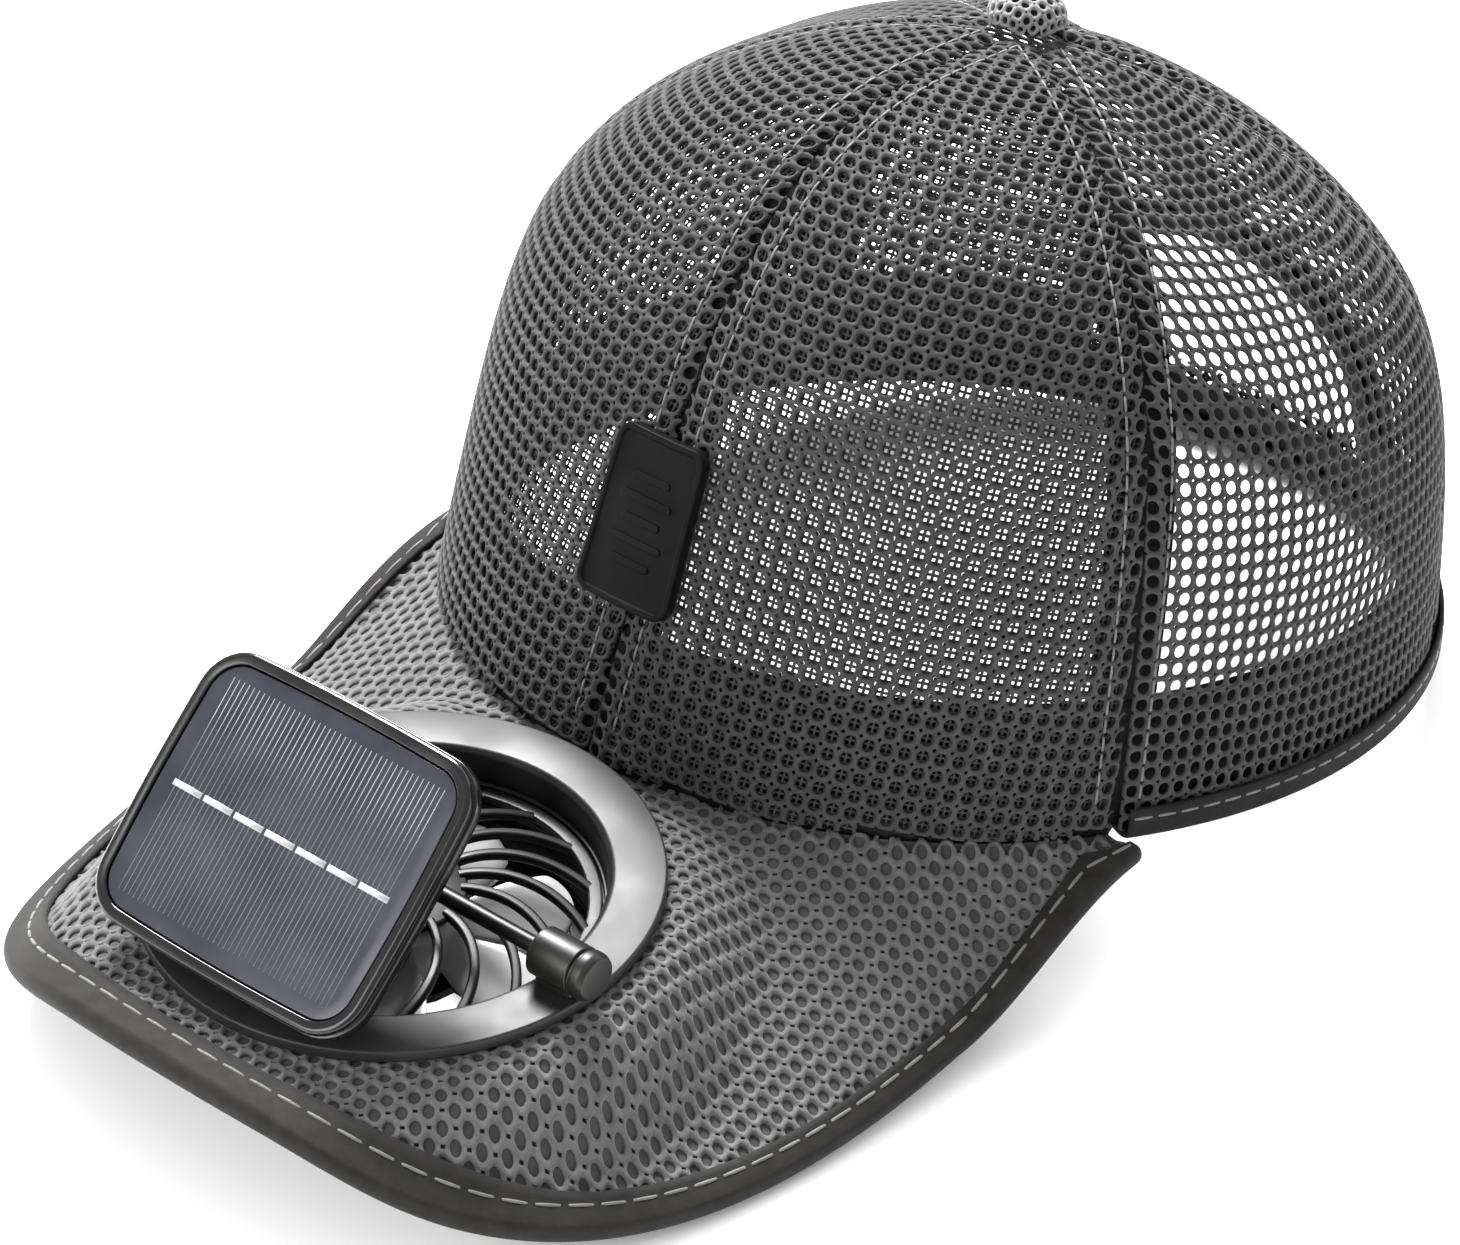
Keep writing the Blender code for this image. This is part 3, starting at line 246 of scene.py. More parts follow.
def turned(profile, steps=96, closed=True):
    """A turned shape: (radius, height) points, down the outer side, swept about Z; points on Z are merged."""
    profile = np.asarray(profile)
    angle = np.arange(steps) * 2.0 * math.pi / steps
    points = np.stack([profile[:, :1] * np.cos(angle), profile[:, :1] * np.sin(angle),
                       np.repeat(profile[:, 1:2], steps, axis=1)], axis=-1)
    index = np.arange(len(profile) * steps).reshape(len(profile), steps)
    index[profile[:, 0] < 1e-9] = index[profile[:, 0] < 1e-9][:, :1]
    quads = grid_quads(len(profile) + (1 if closed else 0), steps, closed=True) % (len(profile) * steps)
    return points.reshape(-1, 3), index.ravel()[quads][:, ::-1]


# %% [markdown]
# ## Finishes
#
# Cloth is a diffuse shader with a fine bump and a little mottling, because spun polyester takes dye unevenly.
# Plastic is a smoother shader whose roughness wanders a little, with a fine moulding texture.
# All patterns read the piece's own object coordinates, so they keep their size in millimetres.


# %% Materials
NOISE_SPAN = (0.3, 0.7)


def grey(value):
    """A neutral colour."""
    return value, value, value


def new_material(name, colour, roughness, metallic=0.0, sheen=0.0, specular=0.5):
    """A Principled material and its nodes, with its plain values on the shader's own sockets."""
    material = bpy.data.materials.new(name)
    material.use_nodes = True
    nodes = material.node_tree.nodes
    shader = nodes["Principled BSDF"]
    values = {"Base Color": (*colour, 1.0), "Roughness": roughness, "Metallic": metallic,
              "Sheen Weight": sheen, "Specular IOR Level": specular}
    for socket, value in values.items():
        shader.inputs[socket].default_value = value
    return material, nodes, material.node_tree.links, shader


def noise(nodes, links, per_mm, detail):
    """A noise texture on object coordinates, given in features a millimetre."""
    coordinates = nodes.new("ShaderNodeTexCoord")
    texture = nodes.new("ShaderNodeTexNoise")
    texture.inputs["Scale"].default_value = per_mm / MM
    texture.inputs["Detail"].default_value = detail
    links.new(coordinates.outputs["Object"], texture.inputs["Vector"])
    return texture


def tint(nodes, links, shader, texture, dark, light):
    """The base colour runs from dark to light over the texture's middle values."""
    ramp = nodes.new("ShaderNodeValToRGB")
    for element, position, colour in zip(ramp.color_ramp.elements, NOISE_SPAN, (dark, light)):
        element.position, element.color = position, (*colour, 1.0)
    links.new(texture.outputs[0], ramp.inputs["Fac"])
    links.new(ramp.outputs["Color"], shader.inputs["Base Color"])


def relief(nodes, links, shader, texture, height, strength):
    """A bump of a height in metres from a texture."""
    bump = nodes.new("ShaderNodeBump")
    bump.inputs["Strength"].default_value = strength
    bump.inputs["Distance"].default_value = height
    links.new(texture.outputs[0], bump.inputs["Height"])
    links.new(bump.outputs["Normal"], shader.inputs["Normal"])


def vary_roughness(nodes, links, shader, texture, low, high):
    """The roughness wanders between two values with a texture."""
    spread = nodes.new("ShaderNodeMapRange")
    for socket, value in zip(("From Min", "From Max", "To Min", "To Max"), (*NOISE_SPAN, low, high)):
        spread.inputs[socket].default_value = value
    links.new(texture.outputs[0], spread.inputs["Value"])
    links.new(spread.outputs["Result"], shader.inputs["Roughness"])


def cloth_material(name, dark, light, roughness=0.75, sheen=0.1, yarn=2.2, specular=0.25):
    """Spun polyester: mottled between two greys, with a fuzzy bump at the yarn's scale."""
    material, nodes, links, shader = new_material(name, light, roughness, sheen=sheen, specular=specular)
    tint(nodes, links, shader, noise(nodes, links, 0.35, 4.0), dark, light)
    relief(nodes, links, shader, noise(nodes, links, yarn, 3.0), 0.12 * MM, 0.5)
    return material


def plastic_material(name, dark, light, low, high, grain=1.6, specular=0.5):
    """Moulded plastic: two close tones, uneven gloss and a shallow moulding texture."""
    material, nodes, links, shader = new_material(name, light, low, specular=specular)
    tint(nodes, links, shader, noise(nodes, links, 0.12, 3.0), dark, light)
    vary_roughness(nodes, links, shader, noise(nodes, links, 0.08, 5.0), low, high)
    relief(nodes, links, shader, noise(nodes, links, grain, 2.0), 0.02 * MM, 0.25)
    return material


net_cloth = cloth_material("net_cloth", grey(0.020), grey(0.036), sheen=0.04, specular=0.15)
brim_net_cloth = cloth_material("brim_net_cloth", grey(0.050), (0.078, 0.078, 0.077))
# The top button's net is the crown's net painted several times lighter: painted light on the dome's upturned top.
button_net_painted_lit = cloth_material("button_net_painted_lit", grey(0.10), grey(0.15))
brim_board_cloth = cloth_material("brim_board_cloth", grey(0.024), grey(0.040))
cross_yarn = cloth_material("cross_yarn", grey(0.03), grey(0.05), sheen=0.0, specular=0.15)
binding_cloth = cloth_material("binding_cloth", (0.006, 0.0056, 0.005), (0.011, 0.0105, 0.0095), yarn=3.0,
                               sheen=0.03, specular=0.12)
thread = cloth_material("thread", (0.07, 0.07, 0.068), (0.11, 0.11, 0.106), roughness=0.6, yarn=4.0)
band_cloth = cloth_material("band_cloth", (0.004, 0.004, 0.0045), (0.008, 0.008, 0.0085), sheen=0.0,
                            specular=0.1)
tape_cloth = cloth_material("tape_cloth", (0.005, 0.005, 0.0055), grey(0.010), sheen=0.0, specular=0.1)
label_rubber = plastic_material("label_rubber", (0.0015, 0.0015, 0.0018), (0.003, 0.003, 0.0034), 0.45, 0.65,
                                grain=3.0, specular=0.05)
bezel_plastic = plastic_material("bezel_plastic", (0.010, 0.0098, 0.0097), (0.014, 0.0137, 0.0135), 0.34,
                                 0.48, specular=0.2)
fan_plastic = plastic_material("fan_plastic", (0.002, 0.002, 0.0023), (0.004, 0.004, 0.0044), 0.32, 0.46,
                               specular=0.16)
blade_plastic = plastic_material("blade_plastic", grey(0.22), grey(0.29), 0.25, 0.4)
frame_plastic = plastic_material("frame_plastic", (0.002, 0.002, 0.0025), (0.005, 0.005, 0.0055), 0.10, 0.22,
                                 specular=0.3)
knob_plastic = plastic_material("knob_plastic", (0.004, 0.0043, 0.0036), (0.009, 0.0093, 0.008), 0.28, 0.42,
                                specular=0.22)
cell_glass = plastic_material("cell_glass", (0.012, 0.013, 0.019), (0.019, 0.0205, 0.028), 0.12, 0.25,
                              specular=0.25)
finger_silver, *_ = new_material("finger_silver", (0.055, 0.056, 0.068), 0.35)
busbar_silver, *_ = new_material("busbar_silver", (0.24, 0.24, 0.25), 0.3)
steel, *_ = new_material("steel", (0.022, 0.022, 0.023), 0.38, metallic=1.0)
print("materials:", len(bpy.data.materials))

# %% [markdown]
# ## The crown's surface
#
# Each meridian of the crown is a superellipse: its run shrinks as cos(t) to a power while its rise grows as
# sin(t) to another, and the powers blend from the front to the side to the rear. These are the same numbers
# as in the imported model, so the net lies exactly on its solids.

# %% Crown surface
RIM_HALF_LENGTH = 103.5 * MM
RIM_HALF_WIDTH = 87.6 * MM
RIM_REAR_DROP = 4.7 * MM
CROWN_HEIGHT = 109.0 * MM
CROWN_WAIST = 0.023
CROWN_TOP_HOLE = 6.0 * MM
PANEL_WALL = 2.0 * MM
CLOTH_FIT = 0.5 * MM
CROWN_BEND = {"front": (1.2, 4.1), "side": (3.5, 1.55), "rear": (1.25, 1.75)}


def rim_height(angle):
    """The rim's height: level with the brim in front, lower at the rear."""
    return -RIM_REAR_DROP * (1.0 - np.cos(angle)) / 2.0


def crown_meridians(angles, count=240):
    """Superellipse meridians at many angles, and the length along each from the rim upwards."""
    angles = np.asarray(angles, dtype=float)[:, None]
    shares = {"front": np.maximum(np.cos(angles), 0) ** 2, "rear": np.maximum(-np.cos(angles), 0) ** 2,
              "side": np.sin(angles) ** 2}
    rise_power = sum(share * CROWN_BEND[key][0] for key, share in shares.items())
    run_power = sum(share * CROWN_BEND[key][1] for key, share in shares.items())
    t = math.pi / 2 * (1.0 - (1.0 - np.linspace(0.0, 1.0, count)) ** 3)
    run = np.maximum(np.cos(t), 0.0) ** (2.0 / run_power)
    rise = np.sin(t) ** (2.0 / rise_power)
    run = run * (1.0 - CROWN_WAIST * np.sin(math.pi * np.minimum(1.6 * rise, 1.0)))
    points = np.stack([RIM_HALF_WIDTH * np.sin(angles) * run, -RIM_HALF_LENGTH * np.cos(angles) * run,
                       rim_height(angles) * (1.0 - rise) + CROWN_HEIGHT * rise], axis=-1)
    steps = np.linalg.norm(np.diff(points, axis=1), axis=2)
    return points, np.concatenate([np.zeros((len(angles), 1)), np.cumsum(steps, axis=1)], axis=1)


def crown_grid(angles, climbs):
    """Points of the outer face: rows are climbs, given for each angle, and columns are angles.

    Below the rim, where a climb is negative, the face goes straight down.
    """
    points, lengths = crown_meridians(angles)
    climbs = np.broadcast_to(climbs, (len(climbs), len(angles)))
    columns = [np.stack([np.interp(climbs[:, i], lengths[i], points[i, :, axis]) for axis in range(3)], axis=-1)
               for i in range(len(angles))]
    grid = np.stack(columns, axis=1)
    grid[..., 2] += np.minimum(climbs, 0.0)
    return grid


def grid_normals(grid):
    """Unit normals of a grid, across its columns' and then its rows' direction."""
    normal = np.cross(np.gradient(grid, axis=1), np.gradient(grid, axis=0))
    return normal / np.maximum(np.linalg.norm(normal, axis=-1, keepdims=True), 1e-12)


def crown_sheet(angles, climbs, depth):
    """A grid a given depth inside the crown's outer face."""
    grid = crown_grid(angles, climbs)
    return grid - depth * grid_normals(grid)


def meridian_lengths(angles):
    """Whole lengths of the meridians, from the rim to the pole."""
    return crown_meridians(angles)[1][:, -1]


def crown_spots(angles, climbs, depth=0.0, step=0.5 * MM):
    """Points at pairs of an angle and a climb, a depth under the outer face; the normal is taken there."""
    def at(a, c):
        points, lengths = crown_meridians(a)
        return np.stack([[np.interp(c[i], lengths[i], points[i, :, axis]) for axis in range(3)]
                         for i in range(len(a))])

    here = at(angles, climbs)
    normal = np.cross(at(angles + step / RIM_HALF_LENGTH, climbs) - here, at(angles, climbs + step) - here)
    return here - depth * unit_rows(normal)


print("front meridian", round(float(meridian_lengths([0.0])[0]) / MM, 1), "mm")

# %% [markdown]
# ## The net
#
# The cloth is a knitted spacer mesh: round holes in a square lattice, with a small diamond hole where four
# strands meet. One cell is a square with its corners cut for the diamonds and a round hole in its middle:
# twelve points round the cell lie on the strands' crests, and twelve round the hole lie a little lower, so
# the strands look round. Cells share their edge points, so the net is one closed solid once
# it is thickened. The cells are laid out flat, in millimetres across and up the gore, and then carried on to
# the surface, so they keep their size and are cut off at the seams as real panels are.

# %% Net cells
NET_PITCH = 3.15 * MM
NET_HOLE = 1.19 * MM
NET_DIAMOND = 0.46 * MM
NET_SLOPE = 0.26 * MM
NET_WALL = 0.72 * MM
NET_TURNS = {"front_left": -5.0, "side_left": -2.5, "rear_left": 2.0, "rear_right": -2.0, "side_right": 2.5,
             "front_right": -2.0}


def net_lattice(across, up, pitch, turn=0.0):
    """Centres of a square lattice that fills a box of flat coordinates, turned by a small angle."""
    low, high = np.array([across[0], up[0]]), np.array([across[1], up[1]])
    count = math.ceil(np.linalg.norm(high - low) / 2 / pitch)
    steps = np.arange(-count, count + 1) * pitch
    grid = np.stack(np.meshgrid(steps, steps), axis=-1).reshape(-1, 2)
    grid = grid @ turned_axes(turn) + (low + high) / 2
    return grid[((grid > low - pitch) & (grid < high + pitch)).all(axis=1)]


def turned_axes(turn):
    """The two axis rows of flat coordinates turned by an angle."""
    return np.array([[math.cos(turn), math.sin(turn)], [-math.sin(turn), math.cos(turn)]])


def net_cells(centres, pitch, hole, diamond, turn=0.0, lean=0.0):
    """Points of the cells, crest points and then hole points, and the quads between them, as one sheet.

    Crest points: a square's corners, each cut at k from its tip, and the middles of its sides; where
    four cut corners meet they leave a diamond, which leans along one diagonal. Hole points: a circle.
    """
    d, k, s = pitch / 2, diamond, lean
    crest = np.array([
        [d + s, k - d + s], [d, 0], [d - s, d - k - s], [d - k - s, d - s], [0, d], [k - d + s, d + s],
        [-d - s, d - k - s], [-d, 0], [s - d, k - d + s], [k - d + s, s - d], [0, -d], [d - k - s, -d - s]])
    angle = np.radians(np.array([-31.0, 0.0, 31.0]) + 90.0 * np.arange(4)[:, None]).ravel()
    ring = hole * np.stack([np.cos(angle), np.sin(angle)], axis=1)
    pattern = np.concatenate([crest, ring]) @ turned_axes(turn)
    points = (centres[:, None] + pattern).reshape(-1, 2)
    i, after = np.arange(12), (np.arange(12) + 1) % 12
    quads = np.stack([i, after, after + 12, i + 12], axis=1)
    level = np.tile(np.repeat([0.0, 1.0], 12), len(centres))
    return points, level, repeated(quads, 24, len(centres))


def welded(points, level, quads):
    """Merge points that coincide, and drop faces that have no area left."""
    key = np.round(points / (0.01 * MM)).astype(np.int64)
    _, first, index = np.unique(key[:, 0] * 10_000_000 + key[:, 1], return_index=True, return_inverse=True)
    quads = index.ravel()[quads]
    points, level = points[first], level[first]
    corner = points[quads]
    ahead = np.roll(corner, -1, axis=1)
    area = (corner[..., 0] * ahead[..., 1] - corner[..., 1] * ahead[..., 0]).sum(axis=1) / 2
    return points, level, quads[area > (0.05 * MM) ** 2]


def table_value(table, row, column):
    """A table's value between its entries, by straight lines along rows and columns."""
    row, column = np.clip(row, 0, table.shape[0] - 1.001), np.clip(column, 0, table.shape[1] - 1.001)
    r, c = row.astype(int), column.astype(int)
    u, v = (row - r)[:, None], (column - c)[:, None]
    flat = table.reshape(table.shape[0], table.shape[1], -1)
    low = flat[r, c] * (1 - v) + flat[r, c + 1] * v
    high = flat[r + 1, c] * (1 - v) + flat[r + 1, c + 1] * v
    return low * (1 - u) + high * u


class Gore:
    """A crown panel's surface in flat coordinates: metres across from its middle and up from the rim."""

    def __init__(self, angle_from, angle_to, rows=201, columns=81):
        self.angles = np.linspace(angle_from, angle_to, columns)
        self.room = meridian_lengths(self.angles) - CROWN_TOP_HOLE
        self.grid = crown_grid(self.angles, np.linspace(0.0, 1.0, rows)[:, None] * self.room)
        self.normals = grid_normals(self.grid)
        steps = np.linalg.norm(np.diff(self.grid, axis=1), axis=2)
        across = np.concatenate([np.zeros((rows, 1)), np.cumsum(steps, axis=1)], axis=1)
        self.across = across - across[:, columns // 2: columns // 2 + 1]
        self.height = self.room[columns // 2]
        self.rows = rows
        share = np.linspace(-1.0, 1.0, columns)
        half = np.where(share < 0, -self.across[:, :1], self.across[:, -1:])
        self.column_of = np.stack([np.interp(share * half[r], self.across[r], np.arange(columns))
                                   for r in range(rows)])

    def half_widths(self, up):
        """The gore's reach to its left and to its right at a height up its middle."""
        row = up / self.height * (self.rows - 1)
        edges = np.stack([-self.across[:, 0], self.across[:, -1]], axis=1)
        return np.stack([np.interp(row, np.arange(self.rows), edges[:, side]) for side in (0, 1)], axis=1)

    def place(self, flat, depth, margin=0.12 * MM):
        """World points of flat ones, kept inside the gore's edges, at a depth under the outer face."""
        up = np.clip(flat[:, 1], 0.0, self.height)
        half = self.half_widths(up)
        side = np.where(flat[:, 0] < 0, half[:, 0], half[:, 1])
        limit = np.maximum(1.0 - margin / np.maximum(side, MM), 0.0)
        share = np.clip(flat[:, 0] / np.maximum(side, 1e-6), -limit, limit)
        row = up / self.height * (self.rows - 1)
        columns = self.column_of.shape[1]
        column = table_value(self.column_of, row, (share + 1.0) / 2.0 * (columns - 1))[:, 0]
        point = table_value(self.grid, row, column)
        normal = unit_rows(table_value(self.normals, row, column))
        return placed(point - np.asarray(depth).reshape(-1, 1) * normal, HAT)

    def flat_spots(self, angles, climbs):
        """Flat coordinates of surface points given by their angle and climb."""
        column = np.interp(angles, self.angles, np.arange(len(self.angles)))
        share = climbs / np.interp(angles, self.angles, self.room)
        row = share * (self.rows - 1)
        across = table_value(self.across[:, :, None], row, column)[:, 0]
        return np.stack([across, share * self.height], axis=1)

    def hat_points(self, flat):
        """Points of the outer face in the hat's own frame."""
        return (self.place(flat, np.zeros(len(flat)), margin=0.0) - HAT[0]) @ HAT[1].T

    def seam_distance(self, flat):
        """How far a flat point lies inside the nearer seam."""
        half = self.half_widths(np.clip(flat[:, 1], 0.0, self.height))
        return np.where(flat[:, 0] < 0, half[:, 0] + flat[:, 0], half[:, 1] - flat[:, 0])


PANEL_NAMES = ("front_left", "side_left", "rear_left", "rear_right", "side_right", "front_right")
GORE_ANGLE = math.radians(60.0)
gores = {name: Gore(i * GORE_ANGLE, (i + 1) * GORE_ANGLE) for i, name in enumerate(PANEL_NAMES)}
print("gore height", round(gores["front_left"].height / MM, 1), "mm")


# %% [markdown]
# ## Rear opening
#
# Over the closing strap at the rear, the cloth is cut away in an arch, so that the strap can be drawn in. The
# edge is half an ellipse as seen from behind. Its points are found on the meridians by their distance from the
# middle and their height, and then written in each rear gore's flat coordinates to cut the net.

# %% Rear opening
ARCH_HALF_WIDTH = 35.0 * MM
ARCH_BOTTOM = 10.0 * MM
ARCH_TOP = 48.5 * MM
ARCH_FOOT = 8.5 * MM


def rear_spots(across, height):
    """Angles and climbs of the rear wall's points at distances from its middle and heights."""
    angles = np.linspace(math.radians(115.0), math.radians(245.0), 131)
    points, lengths = crown_meridians(angles)
    out_angles, out_climbs = [], []
    for x, z in zip(across, height):
        sideways = np.array([np.interp(z, points[i, :, 2], points[i, :, 0]) for i in range(len(angles))])
        climbs = np.array([np.interp(z, points[i, :, 2], lengths[i]) for i in range(len(angles))])
        out_angles.append(np.interp(-x, -sideways, angles))
        out_climbs.append(np.interp(out_angles[-1], angles, climbs))
    return np.array(out_angles), np.array(out_climbs)


def arch_edge(grow, count=61):
    """The opening's curved edge, grown by a little: x = (a + g) cos t, z = bottom + (h + g) sin t."""
    t = np.linspace(0.0, math.pi, count)
    return (ARCH_HALF_WIDTH + grow) * np.cos(t), ARCH_BOTTOM + (ARCH_TOP - ARCH_BOTTOM + grow) * np.sin(t)


def in_arch(points):
    """Which points of the hat's frame lie in the opening as seen from behind."""
    x, z = points[:, 0] / ARCH_HALF_WIDTH, (points[:, 2] - ARCH_BOTTOM) / (ARCH_TOP - ARCH_BOTTOM)
    return (np.abs(x) < 1.0) & (points[:, 2] > ARCH_FOOT) & (np.hypot(x, np.maximum(z, 0.0)) < 1.0)


arch_x, arch_z = arch_edge(0.0, 121)
foot_x = np.linspace(-ARCH_HALF_WIDTH, ARCH_HALF_WIDTH, 60)
arch_angles, arch_climbs = rear_spots(np.append(arch_x, foot_x), np.append(arch_z, 0.0 * foot_x + ARCH_FOOT))
print("arch reaches up the rear seam to", round(float(arch_climbs.max()) / MM, 1), "mm")

# %% [markdown]
# ## Crown panels
#
# The cloth is drawn down into a valley where two panels are sewn together, and again along the topstitching
# on each side of it, so the net's depth grows near the seam. In the two rear panels, cells whose middle lies in
# the opening are left out, and points of their neighbours that reach into it are moved back to its edge.

# %% Crown panels of net
SEAM_VALLEY = 1.0 * MM
SEAM_VALLEY_WIDTH = 1.9 * MM
STITCH_AWAY = 4.3 * MM
STITCH_DIP = 0.4 * MM
STITCH_DIP_WIDTH = 0.8 * MM


def sewn_depth(distance):
    """How far the cloth sinks near a seam: a bell at the seam and a narrow one under the stitching."""
    valley = SEAM_VALLEY * np.exp(-(distance / SEAM_VALLEY_WIDTH) ** 2)
    return valley + STITCH_DIP * np.exp(-((distance - STITCH_AWAY) / STITCH_DIP_WIDTH) ** 2)


def clipped_to(gore, flat):
    """Flat points moved in to the gore's edges, the rim and the top."""
    up = np.clip(flat[:, 1], 0.0, gore.height)
    half = gore.half_widths(up)
    return np.stack([np.clip(flat[:, 0], -half[:, 0], half[:, 1]), up], axis=1)


def moved_out_of_arch(gore, flat):
    """Flat points inside the rear opening moved to the nearest point of its edge."""
    within = in_arch(gore.hat_points(flat))
    own = (arch_angles > gore.angles[0]) & (arch_angles < gore.angles[-1])
    edge = gore.flat_spots(arch_angles[own], arch_climbs[own])
    nearest = np.linalg.norm(flat[within, None] - edge[None], axis=2).argmin(axis=1)
    flat[within] = edge[nearest]
    return flat


def crown_net(name, gore):
    """One gore of net with a wall, its cells cut off along the gore's edges."""
    reach = float(np.abs(gore.across).max())
    turn = math.radians(NET_TURNS[name])
    centres = net_lattice((-reach, reach), (0.0, gore.height), NET_PITCH, turn)
    inside = (gore.seam_distance(centres) > -0.2 * MM) & (centres[:, 1] > 0) & (centres[:, 1] < gore.height)
    centres = centres[inside]
    if name.startswith("rear"):
        centres = centres[~in_arch(gore.hat_points(centres))]
    flat, level, quads = net_cells(centres, NET_PITCH, NET_HOLE, NET_DIAMOND, turn)
    flat = clipped_to(gore, flat)
    if name.startswith("rear"):
        flat = moved_out_of_arch(gore, flat)
    flat, level, quads = welded(flat, level, quads)
    depth = sewn_depth(gore.seam_distance(flat)) + NET_SLOPE * level
    upper, lower = gore.place(flat, depth), gore.place(flat, depth + NET_WALL - NET_SLOPE * level)
    points, faces = thickened(upper, lower, quads)
    add_piece("crown_net_" + name, points, faces, net_cloth, "mesh_cloth",
              replaced=("crown_panel_" + name,))
    return centres


net_centres = {name: crown_net(name, gore) for name, gore in gores.items()}

# %% [markdown]
# ## Knots behind the front panels
#
# Only the two front panels have a second, finer layer: crossing yarns with a knot behind every round hole,
# which let light through in four small dots. A bar is a prism with a square section set on its edge, and a
# knot is a small octahedron.

# %% Yarn crosses
CROSS_DEPTH = 1.35 * MM
CROSS_REACH = 1.5 * MM
CROSS_YARN = 0.27 * MM
CROSS_SPREAD = 1.12 * MM
KNOT = 0.36 * MM


def yarn_crosses(name, gore, centres, turn):
    """Three bars each way and a knot at each centre, in flat coordinates with the depth as the third."""
    centres = centres[(gore.seam_distance(centres) > 1.6 * MM) & (centres[:, 1] < gore.height - 2.0 * MM)]
    ends = np.array([[-CROSS_REACH, 0.0], [CROSS_REACH, 0.0]])
    ring = CROSS_YARN * np.array([[1.0, 0.0], [0.0, 1.0], [-1.0, 0.0], [0.0, -1.0]])
    bar = np.array([[end[0], side, down] for end in ends for side, down in ring])
    bar_quads = np.concatenate([[[i, (i + 1) % 4, (i + 1) % 4 + 4, i + 4] for i in range(4)],
                                [[3, 2, 1, 0], [4, 5, 6, 7]]])
    knot = KNOT * np.array([[1, 0, 0], [0, 1, 0], [-1, 0, 0], [0, -1, 0], [0, 0, -1], [0, 0, 1]], dtype=float)
    knot_quads = np.array([[i, (i + 1) % 4, tip, tip] if tip == 5 else [(i + 1) % 4, i, tip, tip]
                           for tip in (4, 5) for i in range(4)])
    bars = []
    for aside in (-CROSS_SPREAD, 0.0, CROSS_SPREAD):
        bars.append((bar + [0.0, aside, 0.0], bar_quads))
        bars.append((bar[:, [1, 0, 2]] * [1, -1, 1] + [aside, 0.0, 0.0], bar_quads))
    pattern, quads = joined(bars + [(knot, knot_quads)])
    flat = centres[:, None] + pattern[:, :2] @ turned_axes(turn)
    depth = np.broadcast_to(CROSS_DEPTH + pattern[:, 2], flat.shape[:2]).ravel()
    flat = flat.reshape(-1, 2)
    points = gore.place(flat, depth + sewn_depth(gore.seam_distance(flat)))
    add_piece(name, points, repeated(quads, len(pattern), len(centres)), cross_yarn, "mesh_cloth")


for side in ("front_left", "front_right"):
    yarn_crosses("yarn_crosses_" + side, gores[side], net_centres[side], math.radians(NET_TURNS[side]))

# %% [markdown]
# ## Thread
#
# A stitch is a short capsule that dives into the cloth at both ends. Many of them lie along a line of points,
# at equal lengths with a small gap, and all are made in one array.

# %% Stitches
STITCH_SIDES = 6


def stitch_row(line, normals, length, gap, width, height):
    """Capsules along a line: sections at five shares of each stitch, sunk and narrowed at its ends."""
    steps = np.linalg.norm(np.diff(line, axis=0), axis=1)
    along = np.concatenate([[0.0], np.cumsum(steps)])
    count = int(along[-1] // (length + gap))
    shares = np.array([0.0, 0.1, 0.5, 0.9, 1.0])
    size = np.array([0.25, 0.85, 1.0, 0.85, 0.25])
    at = (np.arange(count)[:, None] * (along[-1] / count) + gap / 2 + shares * length).ravel()
    middle, up = rows_at(at, along, line), rows_at(at, along, normals)
    ahead = rows_at(at + 0.3 * MM, along, line) - rows_at(at - 0.3 * MM, along, line)
    side = unit_rows(np.cross(up, ahead))
    scale = np.tile(size, count)[:, None]
    middle = middle - up * height * (1.0 - scale) * 0.8
    angle = np.arange(STITCH_SIDES) * 2 * math.pi / STITCH_SIDES
    ring = (side[:, None] * np.cos(angle)[:, None] * width / 2 + up[:, None] * np.sin(angle)[:, None] * height / 2)
    points = middle[:, None] + ring * scale[:, None]
    quads = grid_quads(5, STITCH_SIDES, closed=True)
    caps = np.array([[3, 2, 1, 0], [5, 4, 3, 0], [24, 25, 26, 27], [24, 27, 28, 29]])
    quads = np.concatenate([quads, caps])
    return points.reshape(-1, 3), repeated(quads, 5 * STITCH_SIDES, count)


# %% [markdown]
# ## Seams of the crown
#
# The gores meet at six seams. A tape covers each seam inside, from the sweatband up, and a row of topstitching
# runs on both sides of it outside. A seam's points come from the gores beside it, so the tape and the
# stitches follow the cloth.

# %% Seam tapes and topstitching
SEAM_NAMES = ("front", "front_left", "rear_left", "rear", "rear_right", "front_right")
BAND_HEIGHT = 24.0 * MM
ARCH_BINDING_REACH = 4.0 * MM
TAPE_WIDTH = 13.0 * MM
TAPE_WALL = 1.0 * MM
TAPE_END = 0.9
STITCHED = (0.035, 0.985)
TOP_STITCH = {"length": 2.9 * MM, "gap": 0.35 * MM, "width": 0.5 * MM, "height": 0.42 * MM}


def seam_points(index, shares, offset, depth):
    """World points beside a seam: shares up it, an offset before (negative) or after it, and a depth."""
    gore = gores[PANEL_NAMES[index % 6 if offset >= 0 else (index - 1) % 6]]
    up = np.asarray(shares) * gore.height
    half = gore.half_widths(up)
    x = offset - half[:, 0] if offset >= 0 else half[:, 1] + offset
    return gore.place(np.stack([x, up], axis=1), np.full(len(up), depth), margin=0.0)


